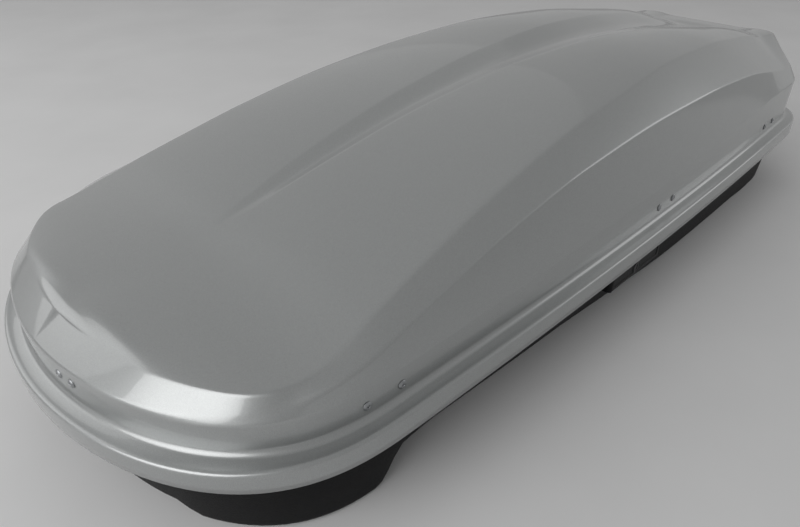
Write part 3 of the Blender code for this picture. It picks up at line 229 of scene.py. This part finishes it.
# %% Sections of the lid
CROWN, FULL_CROWN_Y = 0.005, 0.2
CREST_FADE_Y, CREST_SHARE = 0.12, 0.6
GROOVE_STEP, GROOVE_STEP_DEPTH = 0.45, 0.62
CREASE_INSET, CREASE_RADIUS = LEDGE - 0.0003, 0.003
PANEL_STEPS = (0.0, 0.15, 0.3, 0.5, 0.7, 0.85, 1.0)
PANEL_RADIUS, CREST_RADIUS, GROOVE_RADIUS = 0.02, 0.004, 0.01
# A rounding takes up at most this share of each side of its corner
CORNER_SHARE = 0.45


def rounded(points, radii, steps=5):
    """Swap each inner corner for a short curve that leaves its sides at the radius's distance."""
    points = [Vector(point) for point in points]
    result = [points[0]]
    for i in range(1, len(points) - 1):
        before, after = points[i - 1] - points[i], points[i + 1] - points[i]
        reach = min(radii[i], CORNER_SHARE * before.length, CORNER_SHARE * after.length)
        start = points[i] + before.normalized() * reach if before.length > MERGE else points[i]
        end = points[i] + after.normalized() * reach if after.length > MERGE else points[i]
        for k in range(steps):
            t = k / (steps - 1)
            result.append((1 - t) ** 2 * start + 2 * t * (1 - t) * points[i] + t * t * end)
    return result + [points[-1]]


def crest_y(x, edge_y):
    """How far the crest lies from the centre line, kept well inside the panel's edge."""
    return min(along(CREST_Y, share_at(x)), edge_y * CREST_SHARE)


def panel_z(zone, x, y, edge_y):
    """Height of the top panel above the rim, from its edge over the crest and down into the groove."""
    share = share_at(x)
    edge_z, crest_z = along(PANEL_Z, share), along(CREST_Z, share)
    if zone == "tail":
        edge_y = tapered(x) - along(PANEL_INSET, share)
    elif edge_y < CREST_FADE_Y:
        crest_z = edge_z + (crest_z - edge_z) * edge_y / CREST_FADE_Y
    spread = crest_y(x, edge_y)
    if y < spread:
        fall = float(np.interp(y / spread, [0.0, GROOVE_STEP, 1.0], [1.0, GROOVE_STEP_DEPTH, 0.0]))
        return crest_z - fall * along(GROOVE, share)
    step = min((edge_y - y) / max(edge_y - spread, MERGE), 1.0)
    crown = CROWN * 4 * step * (1 - step) * min(edge_y / FULL_CROWN_Y, 1.0)
    return edge_z + (crest_z - edge_z) * step + crown


def lid_section(place):
    """The lid's outer section at one station, from the skirt's edge to the centre line."""
    section = [(*outline_point(place, inset), z) for inset, z, _ in RIM_CORNERS]
    radii = [radius for _, _, radius in RIM_CORNERS]
    share = share_at(section[0][0])
    side_x, side_y = outline_point(place, CREASE_INSET)
    section.append((side_x, side_y, along(SIDE_CREASE_Z, share_at(side_x))))
    radii.append(CREASE_RADIUS)
    arc_x, arc_y = outline_point(place, along(ARC_INSET, share), ARC_TAIL_INSET, ARC_TAIL_POWER)
    section.append((arc_x, arc_y, along(ARC_Z, share if place[0] == "side" else share_at(arc_x))))
    radii.append(along(ARC_RADIUS, share))
    edge_x, edge_y = outline_point(place, along(PANEL_INSET, share), PANEL_TAIL_INSET, PANEL_TAIL_POWER)
    spread = crest_y(edge_x, edge_y)
    levels = [edge_y + (spread - edge_y) * step for step in PANEL_STEPS]
    levels += [spread * GROOVE_STEP, 0.0]
    section += [(edge_x, y, panel_z(place[0], edge_x, y, edge_y)) for y in levels]
    radii += [along(EDGE_RADIUS, share)] + [PANEL_RADIUS] * (len(PANEL_STEPS) - 2)
    radii += [CREST_RADIUS, GROOVE_RADIUS, 0]
    return rounded([(x, y, RIM + z) for x, y, z in section], radii)


print("points in a section", len(lid_section(("side", 0.5))))

# %% [markdown]
# ## From sections to a skin
#
# A grid has just the rows and columns that a loft needs. Its points move to the sections, the half is
# mirrored, and the seam down the middle is merged. Where rows run together at the nose, merging closes them
# into a neat pole. The sheet gets its thickness from a modifier, so one number sets it everywhere.

# %% Skin through sections


def skin(sections):
    """A mirrored sheet laid through half sections, facing away from the rim's level."""
    rows, columns = len(sections), len(sections[0])
    bm = bmesh.new()
    bmesh.ops.create_grid(bm, x_segments=rows - 1, y_segments=columns - 1, size=0.5)
    for vert in bm.verts:
        row, column = round((vert.co.x + 0.5) * (rows - 1)), round((vert.co.y + 0.5) * (columns - 1))
        vert.co = sections[row][column]
    bmesh.ops.mirror(bm, geom=bm.verts[:] + bm.edges[:] + bm.faces[:], axis="Y", merge_dist=MERGE)
    bmesh.ops.remove_doubles(bm, verts=bm.verts, dist=MERGE)
    bmesh.ops.dissolve_degenerate(bm, edges=bm.edges, dist=MERGE)
    bmesh.ops.recalc_face_normals(bm, faces=bm.faces)
    far = max(bm.faces, key=lambda face: abs(face.calc_center_median().z - RIM))
    if far.normal.z * (far.calc_center_median().z - RIM) < 0.0:
        bmesh.ops.reverse_faces(bm, faces=bm.faces)
    return bm


def wall(piece, thickness, inner_material=0):
    """Thicken a skin inwards."""
    step = piece.modifiers.new("Wall", "SOLIDIFY")
    step.thickness = thickness
    step.offset = -1.0
    step.use_even_offset = False
    step.material_offset = inner_material


print("wall", WALL, "m thick")

# %% [markdown]
# ## Nodes in a few words
#
# Nearly every finish here is a noise that drives a colour, a roughness and a bump. These helpers say that in
# one line each. The noises use the object's own coordinates, so nothing has to be unwrapped.

# %% Node helpers


def shader_of(name):
    """A new material with its node tree and its Principled shader."""
    finish = bpy.data.materials.new(name)
    finish.use_nodes = True
    tree = finish.node_tree
    return finish, tree, tree.nodes["Principled BSDF"]


def noise(tree, scale, detail=3.0, stretch=None):
    """A noise over the object's own coordinates."""
    place = tree.nodes.new("ShaderNodeTexCoord")
    source = tree.nodes.new("ShaderNodeTexNoise")
    source.inputs["Scale"].default_value = scale
    source.inputs["Detail"].default_value = detail
    outlet = place.outputs["Object"]
    if stretch:
        mapping = tree.nodes.new("ShaderNodeMapping")
        mapping.inputs["Scale"].default_value = stretch
        tree.links.new(outlet, mapping.inputs["Vector"])
        outlet = mapping.outputs["Vector"]
    tree.links.new(outlet, source.inputs["Vector"])
    return source.outputs["Fac"]


def ramp(tree, factor, stops):
    """A colour ramp over a factor, from places and their colours."""
    node = tree.nodes.new("ShaderNodeValToRGB")
    bar = node.color_ramp
    while len(bar.elements) < len(stops):
        bar.elements.new(0.5)
    for element, (place, colour) in zip(bar.elements, stops):
        element.position = place
        element.color = (*colour, 1.0)
    tree.links.new(factor, node.inputs["Fac"])
    return node.outputs["Color"]


def span(tree, factor, low, high):
    """A factor of 0 to 1 stretched to a range of values."""
    node = tree.nodes.new("ShaderNodeMapRange")
    node.inputs["To Min"].default_value = low
    node.inputs["To Max"].default_value = high
    tree.links.new(factor, node.inputs["Value"])
    return node.outputs["Result"]


def bump(tree, height, strength, distance):
    """A normal bent by a height."""
    node = tree.nodes.new("ShaderNodeBump")
    node.inputs["Strength"].default_value = strength
    node.inputs["Distance"].default_value = distance
    tree.links.new(height, node.inputs["Height"])
    return node.outputs["Normal"]


print("helpers", [helper.__name__ for helper in (shader_of, noise, ramp, span, bump)])

# %% [markdown]
# ## Silver lacquer look
#
# The sheet is plastic with fine aluminium flakes under a clear, hard, glossy cap. So the shader is a rough
# metal base for the flakes, and a coat on top that gives the sharp reflections. A fine noise shifts the
# flakes' tone, and a long slow one bends the coat a little, as sheet that cooled on a mould does. The inside
# is bare and matt.

# %% Silver of the lid
FLAKE_TONES = [(0.35, (0.335, 0.345, 0.345)), (0.65, (0.425, 0.437, 0.435))]
LINING_TONES = [(0.3, (0.10, 0.105, 0.108)), (0.7, (0.145, 0.150, 0.152))]


def silver_lacquer():
    """Aluminium flake in grey plastic under a clear glossy cap."""
    finish, tree, shader = shader_of("silver_lacquer")
    tree.links.new(ramp(tree, noise(tree, 1400.0, 2.0), FLAKE_TONES), shader.inputs["Base Color"])
    tree.links.new(span(tree, noise(tree, 30.0, 4.0), 0.33, 0.39), shader.inputs["Roughness"])
    shader.inputs["Metallic"].default_value = 0.82
    shader.inputs["Coat Weight"].default_value = 1.0
    shader.inputs["Coat Roughness"].default_value = 0.045
    shader.inputs["Coat IOR"].default_value = 1.5
    tree.links.new(bump(tree, noise(tree, 5.0, 1.0), 0.25, 0.0015), shader.inputs["Coat Normal"])
    return finish


def lid_lining():
    """The bare, matt inside of the sheet."""
    finish, tree, shader = shader_of("lid_lining")
    tree.links.new(ramp(tree, noise(tree, 900.0, 4.0), LINING_TONES), shader.inputs["Base Color"])
    shader.inputs["Roughness"].default_value = 0.62
    tree.links.new(bump(tree, noise(tree, 1600.0, 3.0), 0.3, 0.0004), shader.inputs["Normal"])
    return finish


silver, lining = silver_lacquer(), lid_lining()
print("lid finishes", silver.name, lining.name)

# %% [markdown]
# ## The lid
#
# The real lid is one moulded sheet. A sculpt or a subdivided box could come near it, but its creases have to
# follow the photograph, so it is laid through many sections. They stand closest together at the two ends.

# %% Lay the lid
LID_STATIONS = (44, 84, 36)
lid_skin = skin([lid_section(place) for place in stations(*LID_STATIONS)])
lid = put("roof_box_lid", lid_skin, silver, "lid", ["lid_shell"])
lid.data.materials.append(lining)
wall(lid, WALL, inner_material=1)
print("lid faces", len(lid.data.polygons))

# %% [markdown]
# ## The tray
#
# The tray is pulled from a darker, coarser sheet. Its walls go in under the lid's ledge and curve into a
# floor that is stepped to clear the car's roof, with flat seats for the roof bars. The floor is one height
# for every place, and the tray's sections read it where they cross it.

# %% Tray surface
LIP_INSET, LIP_RISE, WALL_INSET, FOOT_INSET, FLOOR_RADIUS = 0.0125, 0.012, 0.038, 0.050, 0.020
SEATS, SEAT_HALF, SEAT_INNER, SEAT_OUTER = (0.38, -0.42), 0.160, 0.165, 0.250
RECESS_RISE, RECESS_SLOPE, RECESS_FRONT, RECESS_REAR = 0.010, 0.014, 0.585, -0.700
RECESS_FRONT_FADE, RECESS_REAR_FADE = 0.08, 0.05
NOSE_RECESS_HALF, NOSE_RECESS_RISE, NOSE_RECESS_FULL = 0.205, 0.018, 0.14
FOOT_Z = [(0.0, 0.0), (0.155, 0.0), (0.185, 0.055), (0.24, 0.062), (0.36, 0.054), (0.50, 0.034),
          (0.60, 0.019), (0.80, 0.008), (0.86, 0.0), (1.0, 0.0)]
# Widths at which the floor has a point, at its widest place
FLOOR_LEVELS = (SEAT_OUTER, NOSE_RECESS_HALF, 0.185, SEAT_INNER, 0.158, 0.151, 0.11, 0.07, 0.0)


def smooth_step(value, start, end):
    """A soft rise from 0 at start to 1 at end."""
    share = min(max((value - start) / (end - start), 0.0), 1.0)
    return share * share * (3 - 2 * share)


def floor_z(x, y):
    """Underside of the tray above the ground."""
    foot = along(FOOT_Z, share_at(x))
    for seat in SEATS:
        if abs(x - seat) < SEAT_HALF:
            rear, front = (along(FOOT_Z, share_at(seat + way * SEAT_HALF)) for way in (-1, 1))
            foot = rear + (front - rear) * (x - seat + SEAT_HALF) / (2 * SEAT_HALF)
    nose = smooth_step(x, RECESS_FRONT + RECESS_FRONT_FADE, RECESS_FRONT + NOSE_RECESS_FULL)
    body = smooth_step(x, RECESS_REAR - RECESS_REAR_FADE, RECESS_REAR)
    body *= 1 - smooth_step(x, RECESS_FRONT, RECESS_FRONT + RECESS_FRONT_FADE)
    edge = SEAT_INNER + (NOSE_RECESS_HALF - SEAT_INNER) * nose
    inside = 1 - smooth_step(abs(y), edge - RECESS_SLOPE, edge)
    return foot + (RECESS_RISE * body + NOSE_RECESS_RISE * nose) * inside


def tray_section(place):
    """The tray's outer section at one station, from its lip to the centre line."""
    low = floor_z(*outline_point(place, FOOT_INSET))
    corners = [(LIP_INSET, RIM + LIP_RISE, 0), (LIP_INSET + 0.0005, RIM + 0.001, 0.003),
               (WALL_INSET - 0.0006, RIM + 0.001, 0.004),
               ((WALL_INSET + FOOT_INSET) / 2 - 0.002, (RIM + low + FLOOR_RADIUS) / 2, 0.01),
               (FOOT_INSET - 0.001, low + 0.001, FLOOR_RADIUS)]
    section = [(*outline_point(place, inset), z) for inset, z, _ in corners]
    radii = [radius for _, _, radius in corners]
    inner_x, inner_y = outline_point(place, FOOT_INSET + FLOOR_RADIUS)
    reach = wall_half(RECESS_REAR) - FOOT_INSET - FLOOR_RADIUS
    shrink = min(inner_y / reach, 1.0)
    levels = [max(inner_y, 0.0)] + [y * shrink for y in FLOOR_LEVELS]
    section += [(inner_x, y, floor_z(inner_x, y)) for y in levels]
    radii += [0.0] * len(levels)
    return rounded(section, radii, 4)


print("floor in the middle", round(floor_z(0.0, 0.0), 4), "m above the ground")

# %% [markdown]
# ## Black plastics
#
# Grained sheet scatters light in tiny facets, so the look is in the bump and in the way the roughness varies.
# The moulded catches and strikers are a little smoother than the tray, and have a finer grain.

# %% Black plastic materials
TRAY_TONE, CATCH_TONE = (0.0045, 0.0045, 0.005), (0.006, 0.006, 0.0065)


def grained_black(name, tone, roughness, grain, depth):
    """Dark plastic with a pebbled grain."""
    finish, tree, shader = shader_of(name)
    low, high = (tuple(part * factor for part in tone) for factor in (0.8, 1.25))
    cloud = noise(tree, grain * 0.15, 4.0)
    tree.links.new(ramp(tree, cloud, [(0.3, low), (0.7, high)]), shader.inputs["Base Color"])
    place = tree.nodes.new("ShaderNodeTexCoord")
    pebbles = tree.nodes.new("ShaderNodeTexVoronoi")
    pebbles.feature = "SMOOTH_F1"
    pebbles.inputs["Scale"].default_value = grain
    tree.links.new(place.outputs["Object"], pebbles.inputs["Vector"])
    height = pebbles.outputs["Distance"]
    tree.links.new(span(tree, height, roughness - 0.06, roughness + 0.08), shader.inputs["Roughness"])
    tree.links.new(bump(tree, height, 0.35, depth), shader.inputs["Normal"])
    shader.inputs["Specular IOR Level"].default_value = 0.15
    return finish


tray_black = grained_black("tray_grain", TRAY_TONE, 0.50, 620.0, 0.0006)
catch_black = grained_black("catch_black", CATCH_TONE, 0.40, 1500.0, 0.0002)
print("black finishes", tray_black.name, catch_black.name)

# %% [markdown]
# ## The tray's skin
#
# The tray is laid through sections too, so that its wall stays parallel to the lid's rim. Its tail is rounder
# than the lid's lines there, and needs its stations only a little closer together.

# %% Lay the tray
TRAY_STATIONS = (30, 84, 20)
tray_skin = skin([tray_section(place) for place in stations(*TRAY_STATIONS, square=False)])
tray = put("roof_box_tray", tray_skin, tray_black, "tray", ["tray_shell"])
wall(tray, WALL)
print("tray faces", len(tray.data.polygons))

# %% [markdown]
# ## Metals
#
# Rivets are dull aluminium, the pressed steel has zinc plate with a drawn streak, and the key's parts are
# dark. They differ in tone, in roughness and in the stretch of one noise, so one helper makes all three.

# %% Metal materials


def metal(name, tone, roughness, streak=None):
    """A bare or plated metal whose roughness wanders a little."""
    finish, tree, shader = shader_of(name)
    wear = noise(tree, 260.0, 5.0, streak)
    low, high = (tuple(part * factor for part in tone) for factor in (0.85, 1.12))
    tree.links.new(ramp(tree, wear, [(0.3, low), (0.7, high)]), shader.inputs["Base Color"])
    tree.links.new(span(tree, wear, roughness - 0.07, roughness + 0.07), shader.inputs["Roughness"])
    shader.inputs["Metallic"].default_value = 1.0
    tree.links.new(bump(tree, wear, 0.2, 0.0001), shader.inputs["Normal"])
    return finish


rivet_metal = metal("rivet_metal", (0.34, 0.35, 0.36), 0.36)
steel = metal("zinc_plate", (0.52, 0.53, 0.55), 0.32, (1.0, 1.0, 6.0))
key_metal = metal("key_metal", (0.045, 0.045, 0.047), 0.42)
print("metals", rivet_metal.name, steel.name, key_metal.name)

# %% [markdown]
# ## Rivets
#
# The lid carries its catches and hinges on wide-headed blind rivets. Such a rivet is pulled from outside, so
# its dome has a small well in the middle with the broken-off pin end in it. Turning one profile gives the
# head, the shank and the bulb inside. Each one takes its place, its way out and its grip from the solid it
# stands for.

# %% Shape of a rivet
HEAD_RADIUS, HEAD_STEPS, HEAD_SHARP = 0.0068, 28, 50.0
# Points of the solid farther out than this share of the radius belong to its head
RIM_SHARE = 0.97
# Length over which a way out is measured
PROBE = 0.01
# Radius and height, from the bulb's end up to the shank, and from the shank over the dome into the well
BULB_PROFILE = [(0.0, 0.0), (0.0024, 0.0), (0.0034, 0.0007), (0.0033, 0.0016), (0.0020, 0.0021)]
HEAD_PROFILE = [(0.0020, 0.0), (HEAD_RADIUS - 0.0003, 0.0), (HEAD_RADIUS, 0.0003), (0.0065, 0.0008),
                (0.0055, 0.0016), (0.0043, 0.0021), (0.0031, 0.0024), (0.0025, 0.0023), (0.0021, 0.0019),
                (0.0019, 0.0006), (0.0012, 0.0006), (0.0011, 0.0012), (0.0008, 0.0014), (0.0, 0.0014)]


def out_of_side(x, side, inset):
    """The level way out of the lid's side at a place along X."""
    slope = math.atan2(wall_half(x + PROBE, inset) - wall_half(x - PROBE, inset), 2 * PROBE)
    return Vector((-side * side * math.sin(slope), side * math.cos(slope), 0.0))


def out_of_nose(y, inset):
    """The level way out of the lid's nose at a place along Y."""
    def x_at(place):
        share = place / (WIDTH / 2 - inset)
        return (NOSE_LENGTH - inset) * (1 - share**NOSE_POWER_Y) ** (1 / NOSE_POWER_X)

    return Vector((1.0, (x_at(y - PROBE / 2) - x_at(y + PROBE / 2)) / PROBE, 0.0)).normalized()


def rivet(node, out):
    """A blind rivet turned about the axis of the solid it stands for."""
    points = [vert.co.copy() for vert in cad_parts[node].data.vertices]
    middle = sum(points, Vector()) / len(points)
    levels = [(point - middle).dot(out) for point in points]
    reach = [(point - middle - out * level).length for point, level in zip(points, levels)]
    base = min(level for level, radius in zip(levels, reach) if radius > RIM_SHARE * HEAD_RADIUS)
    tail = min(levels) - base
    bulb = [(radius, tail + height) for radius, height in BULB_PROFILE]
    bm = turned(bulb + HEAD_PROFILE, HEAD_STEPS)
    turn = out.to_track_quat("Z", "X").to_matrix().to_4x4()
    bmesh.ops.transform(bm, matrix=Matrix.Translation(middle + out * base) @ turn, verts=bm.verts)
    put(f"{node}_head", bm, rivet_metal, "lid", [node], HEAD_SHARP)


print("rivet head", 2 * HEAD_RADIUS, "m across")

# %% [markdown]
# ## Where the rivets go
#
# Two hold each striker on the near side, two each hinge on the far side, and two the guide at the nose. The
# places below only give the way out of the lid, and the solids give the exact spot.

# %% Set the rivets
CATCH_X = {"front": 0.646, "middle": -0.080, "rear": -0.640}
STRIKER_PITCH, HINGE_PITCH = 0.056, 0.026
NOSE_RIVET_Y = {"a": 0.063, "b": 0.093}
for name, x in CATCH_X.items():
    for end, way in (("a", 0.5), ("b", -0.5)):
        rivet(f"striker_rivet_{name}_{end}", out_of_side(x + way * STRIKER_PITCH, 1, LEDGE))
        rivet(f"hinge_rivet_{name}_{end}", out_of_side(x + way * HINGE_PITCH, -1, 0.0))
for end, y in NOSE_RIVET_Y.items():
    rivet(f"nose_rivet_{end}", out_of_nose(y, LEDGE))
print("rivets", 2 * 2 * len(CATCH_X) + len(NOSE_RIVET_Y))

# %% [markdown]
# ## The lock
#
# A moulded housing sits outside the tray, under the rim, and guards the key barrel. It comes from a mould, so
# every edge is rounded and its face is sunk a little inside a raised border. Bevels and two insets on a block
# give that in a few lines.

# %% Lock housing
LOCK_PLACE = Vector((0.020114, 0.37344, 0.104))
LOCK_IN = Vector((0.037207, -0.999308, 0.0))
LOCK_ALONG = Vector((0.999308, 0.037207, 0.0))
LOCK_TURN = Matrix((LOCK_ALONG, LOCK_IN, Vector((0, 0, 1)))).transposed().to_4x4()
LOCK_FRAME = Matrix.Translation(LOCK_PLACE) @ LOCK_TURN
HOUSING_LOW, HOUSING_HIGH = Vector((-0.095, 0.0, -0.014)), Vector((0.095, 0.022, 0.030))
END_ROUNDING, FACE_ROUNDING = 0.009, 0.0035
BORDER, BORDER_SLOPE, BORDER_DEPTH = 0.0022, 0.0010, 0.0012


def round_edges(bm, edges, radius, segments):
    """Round some edges of a block."""
    bmesh.ops.bevel(bm, geom=edges, offset=radius, affect="EDGES", segments=segments, profile=0.5,
                    material=-1)


bm = bmesh.new()
bmesh.ops.create_cube(bm, size=1.0)
bmesh.ops.scale(bm, vec=HOUSING_HIGH - HOUSING_LOW, verts=bm.verts)
bmesh.ops.translate(bm, vec=(HOUSING_HIGH + HOUSING_LOW) / 2, verts=bm.verts)
upright = []
for edge in bm.edges:
    start, end = (vert.co for vert in edge.verts)
    if abs(start.z - end.z) > MERGE and start.y < HOUSING_HIGH.y / 2:
        upright.append(edge)
round_edges(bm, upright, END_ROUNDING, 5)
face = min(bm.faces, key=lambda item: item.calc_center_median().y)
round_edges(bm, list(face.edges), FACE_ROUNDING, 4)
face = min(bm.faces, key=lambda item: item.calc_center_median().y - item.calc_area())
bmesh.ops.inset_region(bm, faces=[face], thickness=BORDER, use_even_offset=True)
bmesh.ops.inset_region(bm, faces=[face], thickness=BORDER_SLOPE, depth=-BORDER_DEPTH, use_even_offset=True)
bmesh.ops.transform(bm, matrix=LOCK_FRAME, verts=bm.verts)
put("lock_cover", bm, catch_black, "tray", ["lock_housing"], 32.0)
print("lock at", [round(value, 3) for value in LOCK_PLACE])

# %% [markdown]
# ## The ring round the key
#
# A thin dark ring frames the key barrel. It is turned like the rivets, from a closed chain, and then laid
# over to face out of the housing.

# %% Ring round the key
RING_PROFILE = [(0.0094, 0.0012), (0.0094, -0.0002), (0.0099, -0.0005), (0.0122, -0.0005), (0.0132, 0.0004),
                (0.0134, 0.0012)]
bm = turned(RING_PROFILE, 40, closed=True)
bmesh.ops.transform(bm, matrix=LOCK_FRAME @ Matrix.Rotation(-math.pi / 2, 4, "X"), verts=bm.verts)
ring = put("lock_ring", bm, key_metal, "tray", (), 35.0)
print("ring faces", len(ring.data.polygons))

# %% [markdown]
# ## Fittings and seal
#
# Hinges, stays, catches and floor rails are pressed steel with zinc plate, or black mouldings. They hide
# inside the closed box. Their solids already have the right shapes, so they keep them and take real finishes:
# plate with a drawn streak, moulded plastic, and a dull, dusty rubber for the seal.

# %% Finishes of the fittings
BLOOM_TONES = [(0.35, (0.016, 0.016, 0.017)), (0.75, (0.036, 0.036, 0.038))]


def rubber(name):
    """Dull black rubber with a faint bloom."""
    finish, tree, shader = shader_of(name)
    bloom = noise(tree, 90.0, 6.0)
    tree.links.new(ramp(tree, bloom, BLOOM_TONES), shader.inputs["Base Color"])
    tree.links.new(span(tree, bloom, 0.72, 0.88), shader.inputs["Roughness"])
    tree.links.new(bump(tree, noise(tree, 700.0, 4.0), 0.25, 0.0003), shader.inputs["Normal"])
    return finish


OWN_FINISH = {"rim_seal": rubber("seal_rubber"), "lock_barrel": key_metal}
BLACK_FITTINGS = ("striker", "bar_guide", "nose_guide", "bolt")
kept = 0
for name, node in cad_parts.items():
    if node.hide_render or name in ("lid_shell", "tray_shell"):
        continue
    finish = OWN_FINISH.get(name) or (catch_black if name.startswith(BLACK_FITTINGS) else steel)
    node.material_slots[0].material = finish
    kept += 1
print("solids that keep their shape", kept)

# %% [markdown]
# ## The camera
#
# The picture is taken from the near front corner, a little above. The numbers come from a fit of the box's
# lines to the photograph. The picture's middle isn't the lens's middle, so the lens is shifted.

# %% Camera
scene = bpy.context.scene
scene.view_settings.view_transform = "Standard"
CAMERA_PLACE = Vector((1.0121, 0.8190, 0.7494))
YAW, PITCH, ROLL = -2.3679, 0.6506, 0.006
PHOTO_WIDE, PHOTO_HIGH = 800.0, 527.0
FOCAL, CENTRE_X, CENTRE_Y = 638.3158, 437.9793, 321.2553


def place_camera():
    """The camera that fits the photograph's perspective."""
    lens = bpy.data.cameras.new("camera")
    lens.sensor_width = 36.0
    lens.lens = FOCAL / PHOTO_WIDE * lens.sensor_width
    lens.shift_x = (PHOTO_WIDE / 2 - CENTRE_X) / PHOTO_WIDE
    lens.shift_y = (CENTRE_Y - PHOTO_HIGH / 2) / PHOTO_WIDE
    lens.clip_start = 0.05
    camera = bpy.data.objects.new("camera", lens)
    scene.collection.objects.link(camera)
    ahead = Vector((math.cos(PITCH) * math.cos(YAW), math.cos(PITCH) * math.sin(YAW), -math.sin(PITCH)))
    right = ahead.cross(Vector((0, 0, 1))).normalized()
    up = right.cross(ahead)
    cosine, sine = math.cos(ROLL), math.sin(ROLL)
    right, up = right * cosine + up * sine, up * cosine - right * sine
    facing = Matrix((right, up, -ahead)).transposed().to_4x4()
    camera.matrix_world = Matrix.Translation(CAMERA_PLACE) @ facing
    scene.camera = camera


place_camera()
print("camera at", list(scene.camera.location))

# %% [markdown]
# ## The floor
#
# A plain sheet of pale paper, wide enough that its edge is far away in every view. It lies a hair below the
# feet, so that the two surfaces don't flicker through each other.

# %% Floor
FLOOR_HALF, FLOOR_DROP = 30.0, 0.0005
PAPER_TONES = [(0.3, (0.86, 0.86, 0.86)), (0.7, (0.90, 0.90, 0.90))]
paper, tree, shader = shader_of("studio_paper")
tree.links.new(ramp(tree, noise(tree, 3.0), PAPER_TONES), shader.inputs["Base Color"])
shader.inputs["Roughness"].default_value = 0.9
shader.inputs["Specular IOR Level"].default_value = 0.1
bm = bmesh.new()
bmesh.ops.create_grid(bm, x_segments=1, y_segments=1, size=FLOOR_HALF)
floor_mesh = bpy.data.meshes.new("studio_floor")
bm.to_mesh(floor_mesh)
bm.free()
floor_mesh.materials.append(paper)
floor = bpy.data.objects.new("studio_floor", floor_mesh)
floor.location.z = -FLOOR_DROP
scene.collection.objects.link(floor)
print("floor", 2 * FLOOR_HALF, "m wide")

# %% [markdown]
# ## The light
#
# A studio lights a glossy car part with large round soft lights, because every shiny surface shows what
# stands round it. A big one low before the nose gives the bright chamfer. Four dim ones over the far side,
# one inside the other, shade the top softly and show no edge in it. Two small ones pick out the far side and
# the arc crease. The room itself is even, and the lamps are hidden from the lens.

# %% Light


def soft_disk(name, elevation, azimuth, half_angle, strength):
    """A round soft light that faces the box, seen under a half angle, with a given brightness."""
    up, turn = math.radians(elevation), math.radians(azimuth)
    toward = Vector((math.cos(up) * math.cos(turn), math.cos(up) * math.sin(turn), math.sin(up)))
    lamp = bpy.data.lights.new(name, "AREA")
    lamp.shape = "DISK"
    lamp.size = 2 * LAMP_DISTANCE * math.tan(math.radians(half_angle))
    lamp.energy = strength * math.pi * lamp.size**2
    light = bpy.data.objects.new(name, lamp)
    light.location = AIM + LAMP_DISTANCE * toward
    light.rotation_euler = (-toward).to_track_quat("-Z", "Y").to_euler()
    light.visible_camera = False
    scene.collection.objects.link(light)


def studio_world():
    """An even, pale room that the lens, gloss and glass see, and that lights plain surfaces a little less."""
    world = bpy.data.worlds.new("studio")
    world.use_nodes = True
    tree = world.node_tree
    path = tree.nodes.new("ShaderNodeLightPath")
    seen = path.outputs["Is Camera Ray"]
    for ray in ("Is Glossy Ray", "Is Transmission Ray"):
        either = tree.nodes.new("ShaderNodeMath")
        either.operation = "MAXIMUM"
        tree.links.new(seen, either.inputs[0])
        tree.links.new(path.outputs[ray], either.inputs[1])
        seen = either.outputs["Value"]
    background = tree.nodes["Background"]
    tree.links.new(span(tree, seen, ROOM_LIGHT, ROOM_SEEN), background.inputs["Strength"])
    background.inputs["Color"].default_value = (1.0, 1.0, 1.0, 1.0)
    scene.world = world


ROOM_LIGHT, ROOM_SEEN = 0.27, 0.39
AIM, LAMP_DISTANCE = Vector((0.3, 0.0, 0.2)), 4.0
TOP_HALF_ANGLES, TOP_STRENGTH = (18, 26, 34, 42), 0.068
studio_world()
soft_disk("front_light", 25, 4, 25, 1.7)
for half_angle in TOP_HALF_ANGLES:
    soft_disk(f"top_light_{half_angle}", 48, 260, half_angle, TOP_STRENGTH)
soft_disk("left_light", 30, 304, 20, 0.60)
soft_disk("crease_light", 21, 152, 15, 0.60)
